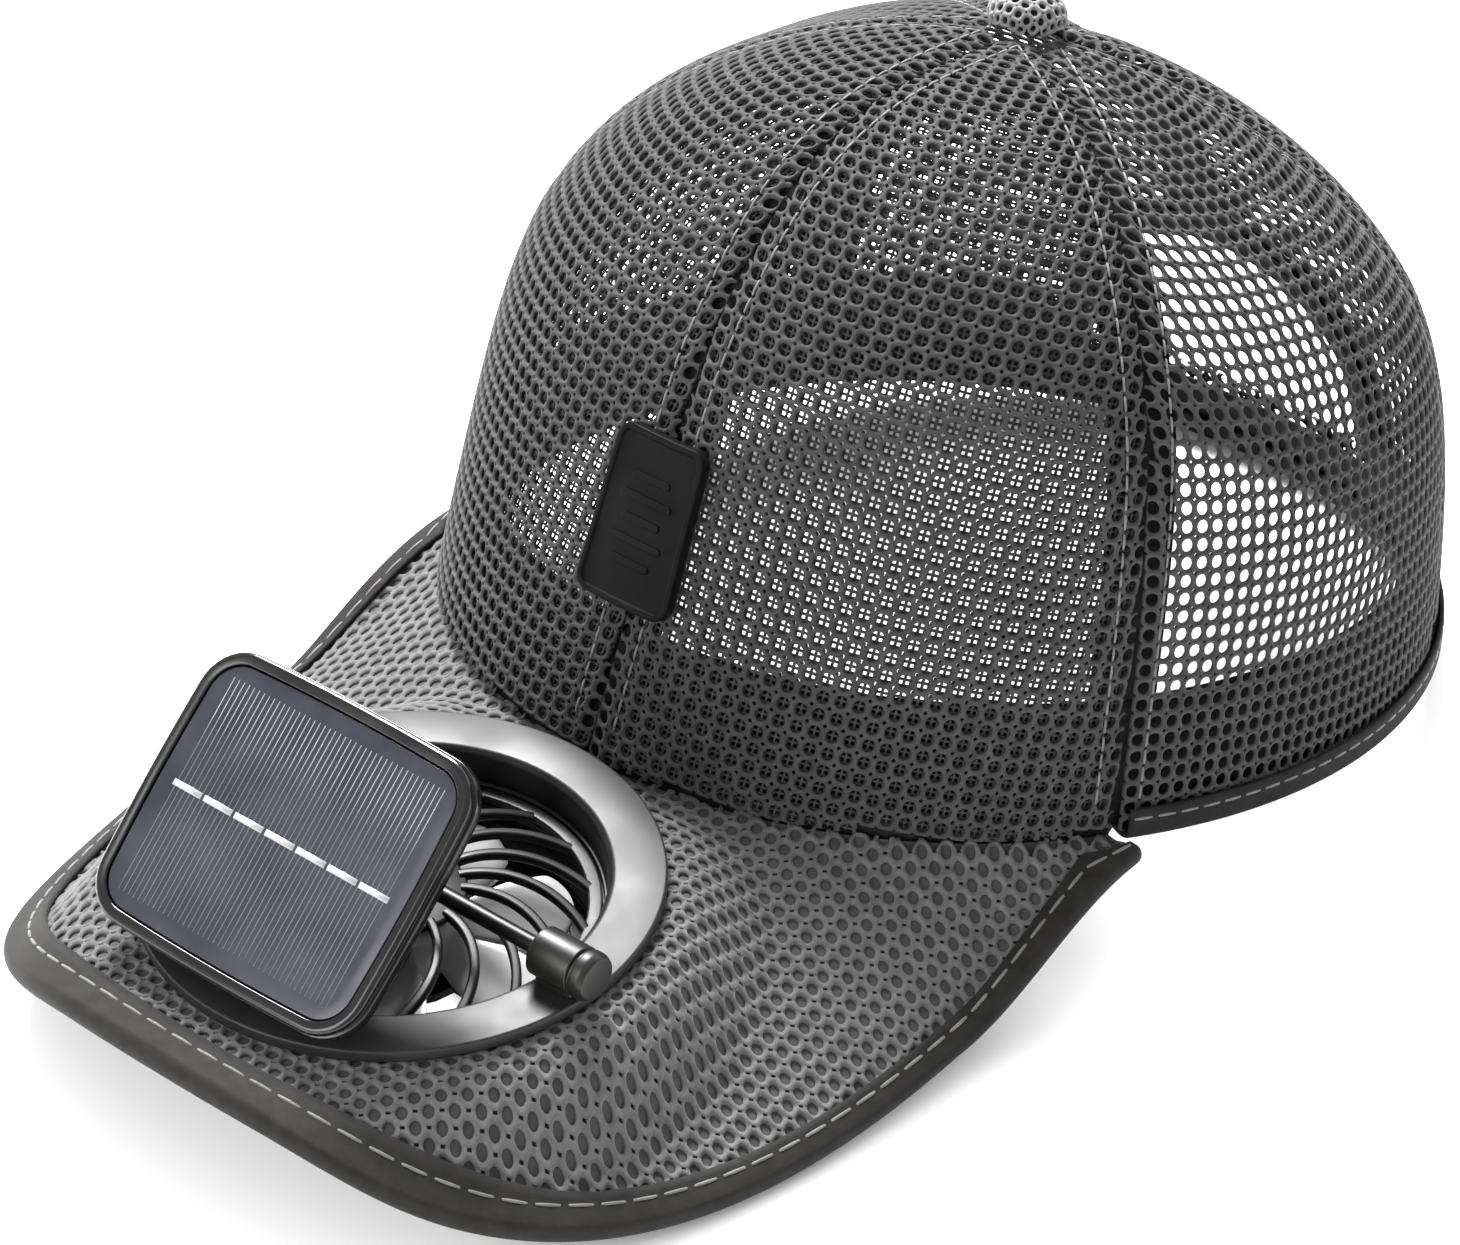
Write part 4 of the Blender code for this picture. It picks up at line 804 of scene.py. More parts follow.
rear_first = rear_spots([0.0], [ARCH_TOP + ARCH_BINDING_REACH])[1][0] + MM
stitch_parts = []
for index, name in enumerate(SEAM_NAMES):
    first = rear_first if name == "rear" else BAND_HEIGHT
    seam_length = float(meridian_lengths([index * GORE_ANGLE])[0]) - CROWN_TOP_HOLE
    shares = np.linspace(first / seam_length, TAPE_END, 60)
    offsets = np.linspace(-TAPE_WIDTH / 2, TAPE_WIDTH / 2, 13)
    near, far = (np.stack([seam_points(index, shares, offset, depth) for offset in offsets], axis=1)
                 for depth in (PANEL_WALL + CLOTH_FIT, PANEL_WALL + CLOTH_FIT + TAPE_WALL))
    add_piece("seam_tape_cloth_" + name, *thickened(near.reshape(-1, 3), far.reshape(-1, 3), grid_quads(60, 13)),
              tape_cloth, "tape_cloth", replaced=("seam_tape_" + name,))
    for offset in (-STITCH_AWAY, STITCH_AWAY):
        shares = np.linspace(first / seam_length if name == "rear" else STITCHED[0], STITCHED[1], 160)
        line = seam_points(index, shares, offset, sewn_depth(STITCH_AWAY) - 0.05 * MM)
        outer = seam_points(index, shares, offset, sewn_depth(STITCH_AWAY) - 1.0 * MM)
        stitch_parts.append(stitch_row(line, unit_rows(outer - line), **TOP_STITCH))
add_piece("crown_topstitching", *joined(stitch_parts), thread, "mesh_cloth")

# %% [markdown]
# ## Sweatband and rim binding
#
# The sweatband is a soft band inside the rim. It is lower behind the rear opening, and hangs a little deeper
# in front, where it covers the brim's seam. Behind the brim, a folded tape closes the lower edges of the
# panels and the band together. Its path is a U: up the outside, round the edge, and up the inside. The same
# fold runs round the edge of the rear opening.

# %% Sweatband and rim binding
BAND_LIFT = 1.2 * MM
BAND_WALL = 1.5 * MM
BAND_FRONT_DROP = 4.6 * MM
BAND_CLEAR = 3.5 * MM
BAND_EASE = 4.0 * MM
BAND_ROUND = 0.5 * MM
BAND_ROWS = 12
RIM_BINDING_START = math.radians(61.2)
RIM_BINDING_HEIGHT = 4.6 * MM
RIM_STITCH_UP = 2.9 * MM
BINDING_WALL = 0.8 * MM
BINDING_BULGE = 1.0 * MM
STITCH_HEIGHTS = (CLOTH_FIT + BINDING_WALL, CLOTH_FIT + 2 * MM)
TAPE_STITCH = {"length": 4.2 * MM, "gap": 0.6 * MM, "width": 0.55 * MM, "height": 0.4 * MM}

ring_angles = np.linspace(0.0, 2.0 * math.pi, 361)
aside = np.where(np.cos(ring_angles) < 0, np.abs(RIM_HALF_WIDTH * np.sin(ring_angles)), RIM_HALF_WIDTH)
high_share = smoothstep((aside - ARCH_HALF_WIDTH - BAND_CLEAR) / BAND_EASE)
front_share = smoothstep((np.cos(ring_angles) - math.cos(RIM_BINDING_START)) / 0.02)
low_top = ARCH_FOOT + RIM_REAR_DROP
tops = low_top + (BAND_HEIGHT - low_top) * high_share
feet = BAND_LIFT - BAND_FRONT_DROP * front_share
grid = crown_grid(ring_angles, feet + (tops - feet) * np.linspace(0.0, 1.0, BAND_ROWS)[:, None])
normals = grid_normals(grid)
edge_round = BAND_ROUND * np.abs(np.linspace(-1, 1, BAND_ROWS))[:, None, None] ** 6
faces = [placed((grid - depth * normals)[:, :-1].reshape(-1, 3), HAT)
         for depth in (PANEL_WALL + CLOTH_FIT + edge_round, PANEL_WALL + CLOTH_FIT + BAND_WALL - edge_round)]
add_piece("sweatband_cloth", *thickened(*faces, grid_quads(BAND_ROWS, 360, closed=True)), band_cloth,
          "band_cloth", replaced=("sweatband",))


def channel_path(leg, inner_depth, gap, bulge, steps=12):
    """The middle line of a fold over an edge: (reach outwards, height), along the lower leg, round a half
    ellipse and back along the upper leg; the edge is inner_depth thick with its upper face at height 0."""
    middle, rise = -inner_depth / 2, inner_depth / 2 + gap
    t = np.linspace(-math.pi / 2, math.pi / 2, steps)
    legs = np.linspace(-leg, 0.0, 5)[:-1]
    lower = np.stack([legs, np.full(4, middle - rise)], axis=1)
    bend = np.stack([bulge * np.cos(t), middle + rise * np.sin(t)], axis=1)
    upper = np.stack([legs[::-1], np.full(4, middle + rise)], axis=1)
    return np.concatenate([lower, bend, upper])


def folded_tape(grid, wall):
    """A tape with a wall about a grid of middle points."""
    normal = grid_normals(grid)
    return thickened((grid + normal * wall / 2).reshape(-1, 3), (grid - normal * wall / 2).reshape(-1, 3),
                     grid_quads(*grid.shape[:2]))


def crown_row(climb, height, drop=0.0):
    """World points along the rim behind the brim: at a climb, a height over the cloth, and then dropped."""
    row = crown_sheet(tape_angles, np.array([0.0, MM, 2 * MM])[:, None] + climb, -height)[0]
    return placed(row - np.array([0.0, 0.0, drop]), HAT)


def tape_seam(name, line, outer):
    """A tape's stitches along a line of points; the points over them give the way up."""
    add_piece(name, *stitch_row(line, unit_rows(outer - line), **TAPE_STITCH), thread, "tape_cloth")


tape_angles = np.linspace(RIM_BINDING_START, 2.0 * math.pi - RIM_BINDING_START, 221)
path = channel_path(RIM_BINDING_HEIGHT, PANEL_WALL + CLOTH_FIT + BAND_WALL, CLOTH_FIT + BINDING_WALL / 2,
                    BINDING_BULGE)
rows = [crown_row(max(-reach, 0.0), height, max(reach, 0.0)) for reach, height in path]
# The rim's binding takes the darker, sheenless tape cloth rather than the binding cloth of the brim and the
# opening: painted shade, for the shade the rear rim lies in.
add_piece("rim_binding_tape", *folded_tape(np.stack(rows), BINDING_WALL), tape_cloth, "tape_cloth",
          replaced=("rim_binding",))
tape_seam("rim_binding_stitches", *(crown_row(RIM_STITCH_UP, height) for height in STITCH_HEIGHTS))

# %% [markdown]
# The opening's binding is the same fold, laid along rows of the arch grown by a little instead of rows of the
# rim, and it is sewn with the same stitches.

# %% Binding of the rear opening
ARCH_STITCH_OUT = 2.6 * MM


def arch_row(reach, height):
    """World points round the opening: a reach outside its edge and a height over the cloth."""
    return placed(crown_spots(*rear_spots(*arch_edge(reach)), -height), HAT)


path = channel_path(ARCH_BINDING_REACH, PANEL_WALL, CLOTH_FIT + BINDING_WALL / 2, BINDING_BULGE)
add_piece("arch_binding_tape", *folded_tape(np.stack([arch_row(-reach, height) for reach, height in path]),
                                            BINDING_WALL), binding_cloth, "tape_cloth", replaced=("arch_binding",))
tape_seam("arch_binding_stitches", *(arch_row(ARCH_STITCH_OUT, height) for height in STITCH_HEIGHTS))

# %% [markdown]
# ## The brim's surface
#
# The brim is ruled: straight lines seen from above run from the crown to the outer edge, which is a
# superellipse. Its height falls forwards and to the sides, and it is pressed flat round the fan. To lay the
# net on it, a point seen from above is turned into its line and its place along it.

# %% Brim surface
BRIM_REACH = 99.2 * MM
BRIM_HALF_WIDTH = 79.0 * MM
BRIM_ROUNDNESS = 3.0
BRIM_WALL = 3.2 * MM
BRIM_SEAM_GAP = 0.75 * MM
BRIM_SEAM_ANGLE = math.radians(60.0)
BRIM_END_ANGLE = math.radians(61.6)
BRIM_FALL = 0.23
BRIM_UPTURN = 6.2 * MM
BRIM_SIDE_DROP = 34.5 * MM
BRIM_SIDE_TWIST = 0.23
BRIM_SPAN = 90.0 * MM
BRIM_END_BLEND = 0.3
BRIM_END_SHARE = 0.35
FAN_FORWARD = 44.8 * MM
FAN_DEPTH = 7.9 * MM
FAN_SLOPE = math.radians(10.3)
FAN_FLAT_EASE = 18.0 * MM
FAN_RIM_EASE = 10.0 * MM
FLANGE_RADIUS = 44.0 * MM
FAN_HOLE = 37.2 * MM


def brim_outline(count=160):
    """The edge seen from above, from the wearer's right to their left: x, y, and the share ahead."""
    ease = np.sin(np.linspace(0.0, math.pi / 2, count)) ** 2 * math.pi / 2
    aside = BRIM_HALF_WIDTH * np.abs(np.cos(ease)) ** (2.0 / BRIM_ROUNDNESS)
    ahead = np.abs(np.sin(ease)) ** (2.0 / BRIM_ROUNDNESS)
    end = -RIM_HALF_LENGTH * math.cos(BRIM_END_ANGLE)
    forward = end - (BRIM_REACH + RIM_HALF_LENGTH + end) * ahead
    right = np.stack([-aside, forward, ahead], axis=1)
    left = np.stack([aside, forward, ahead], axis=1)[::-1]
    return np.concatenate([right, left[1:]])


def brim_lines(share):
    """The inner and outer ends of the ruling lines at shares from the wearer's right to their left."""
    outline = brim_outline()
    lengths = np.concatenate([[0.0], np.cumsum(np.linalg.norm(np.diff(outline[:, :2], axis=0), axis=1))])
    x, y, ahead = (np.interp(share * lengths[-1], lengths, outline[:, axis]) for axis in range(3))
    forward = -y - RIM_HALF_LENGTH
    fall = BRIM_FALL * forward - BRIM_UPTURN * (forward / BRIM_SPAN) ** 2
    side = BRIM_SIDE_DROP * (x / BRIM_SPAN) ** 2 * (1.0 + BRIM_SIDE_TWIST * forward / BRIM_SPAN)
    blend = BRIM_END_SHARE + (1.0 - BRIM_END_SHARE) * smoothstep(ahead / BRIM_END_BLEND)
    seam = rim_height(BRIM_SEAM_ANGLE)
    outer = np.stack([x, y, seam + (-fall - side - seam) * blend], axis=-1)
    angle = BRIM_SEAM_ANGLE * (2.0 * share - 1.0)
    inner = np.stack([(RIM_HALF_WIDTH - PANEL_WALL) * np.sin(angle),
                      -(RIM_HALF_LENGTH - PANEL_WALL) * np.cos(angle), rim_height(angle) - BRIM_SEAM_GAP], axis=-1)
    return inner, outer


def brim_points(share, reach):
    """The upper face at shares round the brim and reaches from the crown (0) to the edge (1)."""
    share, reach = np.broadcast_arrays(np.asarray(share, dtype=float), np.asarray(reach, dtype=float))
    inner, outer = brim_lines(share)
    point = inner + (outer - inner) * reach[..., None]
    point[..., 2] = inner[..., 2] + (outer[..., 2] - inner[..., 2]) * np.maximum(reach, 0.0) ** 0.85
    back = point[..., 1] + RIM_HALF_LENGTH + FAN_FORWARD
    flat = np.minimum(-FAN_DEPTH + math.tan(FAN_SLOPE) * back, inner[..., 2])
    away = smoothstep((np.hypot(point[..., 0], back) - FLANGE_RADIUS - 1.0 * MM) / FAN_FLAT_EASE)
    near_rim = smoothstep(reach * np.linalg.norm(outer - inner, axis=-1) / FAN_RIM_EASE)
    point[..., 2] += (1.0 - away) * near_rim * (flat - point[..., 2])
    return point


def brim_normals(share, reach, step=0.004):
    """Unit normals of the upper face, from differences along and across the ruling lines."""
    low, high = np.clip(share - step, 0.0, 1.0), np.clip(share + step, 0.0, 1.0)
    along = brim_points(high, reach) - brim_points(low, reach)
    inwards = brim_points(share, reach - 5 * step) - brim_points(share, reach)
    normal = np.cross(along, inwards)
    return normal / np.linalg.norm(normal, axis=-1, keepdims=True)


def brim_share_reach(plan, count=241):
    """The ruling line and the place along it of points seen from above.

    The nearest line is found first, among those whose ends lie before and after the point. Its signed
    distance and its neighbour's, on the other side of the point, then share out the step between them.
    """
    inner, outer = brim_lines(np.linspace(0.0, 1.0, count))
    run = (outer - inner)[:, :2]
    length = np.linalg.norm(run, axis=1)
    x, y = plan[:, :1] - inner[None, :, 0], plan[:, 1:2] - inner[None, :, 1]
    aside = (run[None, :, 0] * y - run[None, :, 1] * x) / length
    along = (run[None, :, 0] * x + run[None, :, 1] * y) / length ** 2
    nearest = (np.abs(aside) + 0.1 * np.maximum(np.abs(along - 0.5) - 0.6, 0.0)).argmin(axis=1)
    pick = np.arange(len(plan))
    here = aside[pick, nearest]
    share = nearest.astype(float)
    for step in (-1, 1):
        there = aside[pick, np.clip(nearest + step, 0, count - 1)]
        share = np.where(here * there < 0, nearest + step * here / (here - there + 1e-15), share)
    share = share / (count - 1)
    inner, outer = brim_lines(share)
    run = (outer - inner)[:, :2]
    return share, ((plan - inner[:, :2]) * run).sum(axis=1) / (run ** 2).sum(axis=1)


def fan_distance(plan):
    """How far points seen from above lie from the fan's axis."""
    return np.hypot(plan[..., 0], plan[..., 1] + RIM_HALF_LENGTH + FAN_FORWARD)


def outside_fan(plan, radius):
    """Points moved outwards until they clear the fan's hole."""
    centre = np.array([0.0, -RIM_HALF_LENGTH - FAN_FORWARD])
    away = plan - centre
    distance = np.linalg.norm(away, axis=-1, keepdims=True)
    return centre + away * np.maximum(radius / np.maximum(distance, 1e-9), 1.0)


brim_test = brim_points(np.array([0.2, 0.5, 0.8]), np.array([0.5, 0.9, 0.5]))
found_share, found_reach = brim_share_reach(brim_test[:, :2])
print("brim lines found again:", found_share.round(3), found_reach.round(3))

# %% [markdown]
# ## Brim board and net
#
# The board is a grid along the ruling lines. Its faces inside the fan's hole are left out, and the points
# beside the hole are moved out to its circle. The net over it is laid out as seen from above, with shallower,
# softer holes than the crown's, because it is glued to the board and shows the board's cloth in each pit.

# %% Brim board
BRIM_NET_LAYER = 0.85 * MM
NET_SUNK = 0.1 * MM
NET_PRESSED = 0.05 * MM
BINDING_REACH = 7.0 * MM
BRIM_COLUMNS, BRIM_ROWS = 241, 81


def brim_sheet(depth):
    """The board's grid at a depth under the upper face."""
    share = np.linspace(0.0, 1.0, BRIM_COLUMNS)[None, :] + np.zeros((BRIM_ROWS, 1))
    reach = np.linspace(1.0, 0.0, BRIM_ROWS)[:, None] + np.zeros((1, BRIM_COLUMNS))
    plan = outside_fan(brim_points(share, reach)[..., :2].reshape(-1, 2), FAN_HOLE)
    share, reach = (value.reshape(BRIM_ROWS, BRIM_COLUMNS) for value in brim_share_reach(plan))
    return brim_points(share, reach) - depth * brim_normals(share, reach)


quads = grid_quads(BRIM_ROWS, BRIM_COLUMNS)
sheet = brim_sheet(0.0)
inside_hole = fan_distance(sheet.reshape(-1, 3)[quads].mean(axis=1)) < FAN_HOLE + 0.02 * MM
quads = quads[~inside_hole]
used, index = np.unique(quads, return_inverse=True)
upper, lower = (placed(brim_sheet(depth).reshape(-1, 3)[used], HAT)
                for depth in (BRIM_NET_LAYER + NET_SUNK, BRIM_WALL))
add_piece("brim_board", *thickened(upper, lower, index.reshape(quads.shape)), brim_board_cloth, "brim_cloth",
          replaced=("brim",), crease=40)

# %% Brim net
BRIM_NET_PITCH = 3.0 * MM
BRIM_NET_HOLE = 1.02 * MM
BRIM_NET_DIAMOND = 0.34 * MM
BRIM_NET_LEAN = 0.12 * MM
BRIM_NET_SLOPE = 0.4 * MM
BRIM_NET_TURN = math.radians(4.0)
NET_EDGE = 2.5 * MM
NET_END = 2.0 * MM

centres = net_lattice((-BRIM_HALF_WIDTH, BRIM_HALF_WIDTH), (-RIM_HALF_LENGTH - BRIM_REACH, 0.0),
                      BRIM_NET_PITCH, BRIM_NET_TURN)
share, reach = brim_share_reach(centres)
inner, outer = brim_lines(share)
edge_reach = 1.0 - NET_EDGE / np.linalg.norm(outer - inner, axis=1)
kept = (reach > 0.0) & (reach < edge_reach) & (share > 0.004) & (share < 0.996)
kept &= fan_distance(centres) > FAN_HOLE + NET_EDGE
flat, level, quads = net_cells(centres[kept], BRIM_NET_PITCH, BRIM_NET_HOLE, BRIM_NET_DIAMOND, BRIM_NET_TURN,
                               BRIM_NET_LEAN)
flat = outside_fan(flat, FAN_HOLE + 0.5 * MM)
share, reach = brim_share_reach(flat)
inner, outer = brim_lines(share)
reach = np.clip(reach, 0.0, 1.0 - NET_END / np.linalg.norm(outer - inner, axis=1))
flat, level, quads = welded(brim_points(share, reach)[:, :2], level, quads)
share, reach = brim_share_reach(flat)
surface, normal = brim_points(share, reach), brim_normals(share, reach)
upper = placed(surface - normal * (NET_SUNK + BRIM_NET_SLOPE * level[:, None]), HAT)
lower = placed(surface - normal * (NET_SUNK + BRIM_NET_LAYER + NET_PRESSED), HAT)
add_piece("brim_net", *thickened(upper, lower, quads), brim_net_cloth, "brim_cloth")

# %% [markdown]
# ## Brim binding
#
# The folded tape over the brim's edge is the same U as on the rim, carried round the outer edge and pressed
# on to the net. A row of long stitches runs along it.

# %% Brim binding
BINDING_GAP = 0.35 * MM
BRIM_BINDING_BULGE = 1.2 * MM
STITCH_LINE = 0.58
BRIM_STITCH = {"length": 5.0 * MM, "gap": 0.6 * MM, "width": 0.6 * MM, "height": 0.5 * MM}

share = np.linspace(0.0, 1.0, 361)
inner, outer = brim_lines(share)
width = np.linalg.norm(outer - inner, axis=1)
leg_share = np.minimum(BINDING_REACH, width - PANEL_WALL - 2 * CLOTH_FIT - BINDING_WALL) / width
edge, edge_normal = brim_points(share, np.ones_like(share)), brim_normals(share, np.ones_like(share))
edge_along = np.gradient(edge, axis=0)
edge_out = unit_rows(np.cross(edge_along, edge_normal))
rows = []
for reach, height in channel_path(BINDING_REACH, BRIM_WALL, BINDING_GAP, BRIM_BINDING_BULGE):
    back = max(-reach, 0.0) / BINDING_REACH
    foot = brim_points(share, 1.0 - leg_share * back)
    lift = brim_normals(share, 1.0 - leg_share * back) * height
    rows.append(placed(foot + edge_out * max(reach, 0.0) + lift, HAT))
add_piece("brim_binding_tape", *folded_tape(np.stack(rows), BINDING_WALL), binding_cloth, "tape_cloth",
          replaced=("brim_binding",))
stitch_reach = 1.0 - leg_share * STITCH_LINE
line = brim_points(share, stitch_reach) + brim_normals(share, stitch_reach) * (BINDING_GAP + BINDING_WALL * 0.55)
normal = placed(brim_normals(share, stitch_reach), (np.zeros(3), HAT[1]))
add_piece("brim_binding_stitches", *stitch_row(placed(line, HAT), normal, **BRIM_STITCH), thread, "tape_cloth")

# %% [markdown]
# ## Top button
#
# The button is a dome covered with the crown's own net pattern over a dark core; its cloth is painted lighter than
# the crown's, as painted light on the dome's top. The net is laid out flat round the
# pole and carried on to the dome: the distance from the pole becomes the length along the dome's profile.

# %% Top button
BUTTON_RADIUS = 7.2 * MM
BUTTON_HEIGHT = 6.4 * MM
BUTTON_BASE = CROWN_HEIGHT + 0.5 * MM
BUTTON_NET = {"pitch": 2.3 * MM, "hole": 0.78 * MM, "diamond": 0.3 * MM}
BUTTON_NET_SLOPE = 0.25 * MM
BUTTON_NET_WALL = 0.9 * MM
arc = np.linspace(math.pi / 2, 0.0, 40)
dome = np.stack([BUTTON_RADIUS * np.cos(arc) ** 0.7,
                 BUTTON_BASE + BUTTON_HEIGHT * (0.22 + 0.78 * np.sin(arc))], axis=1)
dome[0] = (0.0, BUTTON_BASE + BUTTON_HEIGHT)
dome = np.concatenate([dome, [[BUTTON_RADIUS * 0.97, BUTTON_BASE + 0.4 * MM],
                              [BUTTON_RADIUS * 0.88, BUTTON_BASE]]])
dome_length = np.concatenate([[0.0], np.cumsum(np.linalg.norm(np.diff(dome, axis=0), axis=1))])
tangent = np.gradient(dome, axis=0)
dome_normal = unit_rows(np.stack([-tangent[:, 1], tangent[:, 0]], axis=1))


def on_dome(flat, depth):
    """Flat points round the pole carried on to the dome, a depth inside it."""
    length = np.minimum(np.hypot(flat[:, 0], flat[:, 1]), dome_length[-1])
    heading = np.arctan2(flat[:, 1], flat[:, 0])
    place, normal = rows_at(length, dome_length, dome), rows_at(length, dome_length, dome_normal)
    radius, height = place[:, 0] - depth * normal[:, 0], place[:, 1] - depth * normal[:, 1]
    return placed(np.stack([radius * np.cos(heading), radius * np.sin(heading), height], axis=1), HAT)


reach = (-dome_length[-1], dome_length[-1])
centres = net_lattice(reach, reach, BUTTON_NET["pitch"])
centres = centres[np.hypot(centres[:, 0], centres[:, 1]) < dome_length[-1] - 0.5 * MM]
flat, level, quads = net_cells(centres, **BUTTON_NET)
distance = np.linalg.norm(flat, axis=1, keepdims=True)
flat = flat * np.minimum(dome_length[-1] / np.maximum(distance, 1e-9), 1.0)
flat, level, quads = welded(flat, level, quads)
upper, lower = on_dome(flat, BUTTON_NET_SLOPE * level), on_dome(flat, BUTTON_NET_WALL)
# Painted light: the button's net takes a cloth painted lighter than the crown's net.
add_piece("button_net", *thickened(upper, lower, quads), button_net_painted_lit, "button_cloth",
          replaced=("top_button",))
core = np.concatenate([dome - 0.85 * MM * dome_normal, [[0.0, BUTTON_BASE]]])
core[0, 0] = 0.0
core[-2:, 1] = BUTTON_BASE
core_points, core_quads = turned(core, 48, closed=False)
add_piece("button_core", placed(core_points, HAT), core_quads, tape_cloth, "button_cloth")

# %% [markdown]
# ## Front label
#
# A moulded rubber label over the front seam, bent to the crown. It is a stack of rounded outlines: out along
# its base, up its side, over a raised lip and down to its floor, with a few plain ribs across the middle.

# %% Front label
LABEL = {"width": 21.0 * MM, "length": 30.5 * MM, "corner": 3.0 * MM, "centre": 43.0 * MM}
LABEL_THICKNESS = 2.6 * MM
LABEL_LIP = (1.1 * MM, 0.5 * MM)
LABEL_RIB = {"width": 1.3 * MM, "corner": 0.6 * MM, "inset": 0.45 * MM, "foot": -0.1 * MM, "top": 0.32 * MM,
             "pitch": 3.75 * MM}
LABEL_RIB_LENGTHS = (9.0 * MM, 12.0 * MM)


def rounded_outline(width, length, corner, bow=0.0, corner_steps=10, side_steps=8):
    """A rounded rectangle, anticlockwise from its right side's middle; its sides bow out by a little."""
    corner = max(corner, 0.02 * MM)
    turns = np.linspace(0.0, math.pi / 2, corner_steps)
    pieces = []
    for n, (sx, sy) in enumerate(((1, 1), (-1, 1), (-1, -1), (1, -1))):
        angle = turns + n * math.pi / 2
        pieces.append(np.stack([sx * (width / 2 - corner) + corner * np.cos(angle),
                                sy * (length / 2 - corner) + corner * np.sin(angle)], axis=1))
    corners = np.concatenate(pieces).reshape(4, corner_steps, 2)
    rows = []
    for n in range(4):
        rows.append(corners[n])
        t = np.linspace(0.0, 1.0, side_steps + 2)[1:-1, None]
        rows.append(corners[n][-1] * (1 - t) + corners[(n + 1) % 4][0] * t)
    outline = np.concatenate(rows)
    x, y = outline[:, 0], outline[:, 1]
    return np.stack([x + np.sign(x) * bow * (1.0 - (2.0 * y / length) ** 2),
                     y + np.sign(y) * bow * (1.0 - (2.0 * x / width) ** 2)], axis=1)


def stacked_plate(rings, width, length, corner, bow=0.0):
    """A closed plate of (inset, height) outlines from its middle below to its middle above."""
    layers = []
    for inset, height in rings:
        outline = rounded_outline(width - 2 * inset, length - 2 * inset, corner - inset, bow)
        layers.append(np.concatenate([outline, np.full((len(outline), 1), height)], axis=1))
    count = len(layers[0])
    middle = [np.tile([[0.0, 0.0, height]], (count, 1)) for height in (rings[0][1], rings[-1][1])]
    points = np.concatenate([middle[0]] + layers + [middle[1]])
    quads = grid_quads(len(rings) + 2, count, closed=True)
    quads[quads < count] = 0
    quads[quads >= (len(rings) + 1) * count] = (len(rings) + 1) * count
    return points, quads


def plate_rim(inner, outer, low, high, radius):
    """A flat plate's rim as (inset, height): out along its base, up its side and in along its top, rounded."""
    return rounded_profile([(inner, low), (outer, low), (outer, high), (inner, high)], radius)


label_angles = np.linspace(-0.3, 0.3, 81)
label_climbs = np.linspace(24.0 * MM, 62.0 * MM, 101)
label_grid = crown_grid(label_angles, label_climbs[:, None])
label_normals = grid_normals(label_grid)


def on_crown(points):
    """Label points (across, up, out of the cloth) bent on to the front of the crown."""
    radius = RIM_HALF_WIDTH ** 2 / RIM_HALF_LENGTH
    angle = np.arcsin(points[:, 0] / radius) * radius / RIM_HALF_WIDTH
    row = (LABEL["centre"] + points[:, 1] - label_climbs[0]) / (label_climbs[1] - label_climbs[0])
    column = (angle - label_angles[0]) / (label_angles[1] - label_angles[0])
    place, normal = (table_value(table, row, column) for table in (label_grid, label_normals))
    return placed(place + points[:, 2:] * normal, HAT)


low, high = CLOTH_FIT, CLOTH_FIT + LABEL_THICKNESS
lip, lip_height = LABEL_LIP
floor_level = high - lip_height
side_path = rounded_profile([(3 * MM, low), (0.0, low), (0.0, high), (lip, high),
                             (lip + lip_height / 2, floor_level), (4.5 * MM, floor_level)], 0.35 * MM)
rings = np.concatenate([[[9.0 * MM, low]], side_path, [[7.0 * MM, floor_level], [9.5 * MM, floor_level]]])
label_points, label_quads = stacked_plate(rings, LABEL["width"], LABEL["length"], LABEL["corner"])
add_piece("label_rubber_plate", on_crown(label_points), label_quads, label_rubber, "label_rubber",
          replaced=("front_label",), crease=50)
rib_rings = plate_rim(LABEL_RIB["inset"], 0.0, LABEL_RIB["foot"], LABEL_RIB["top"], 0.2 * MM)
rib_parts = []
for row in range(5):
    length = LABEL_RIB_LENGTHS[row % 2]
    rib_points, rib_quads = stacked_plate(rib_rings, length, LABEL_RIB["width"], LABEL_RIB["corner"])
    rib_parts.append((on_crown(rib_points + [0.0, (2 - row) * LABEL_RIB["pitch"], floor_level]), rib_quads))
add_piece("label_ribs", *joined(rib_parts), label_rubber, "label_rubber")

# %% [markdown]
# ## Fan shell
#
# The fan's bezel, housing and guard ring are turned shapes about the fan's axis, with their corners rounded so
# that edges catch the light. The flange is satin; the mouth below it is black and glossier.

# %% Fan bezel and housing
FIT = 0.3 * MM
FLANGE_TOP = 2.6 * MM
MOUTH_RADIUS = 34.2 * MM
BARREL_RADIUS = 36.6 * MM
BEZEL_DEPTH = 5.5 * MM
HOUSING_DEPTH = 16.6 * MM
HOUSING_WALL = 1.6 * MM
GUARD_RING_RADIUS = 33.1 * MM
GUARD_RING_WIDTH = 2.4 * MM
GUARD_RING_HEIGHT = 1.7 * MM
HOUSING_LIP = 31.0 * MM
GRILLE_LIP = 31.8 * MM

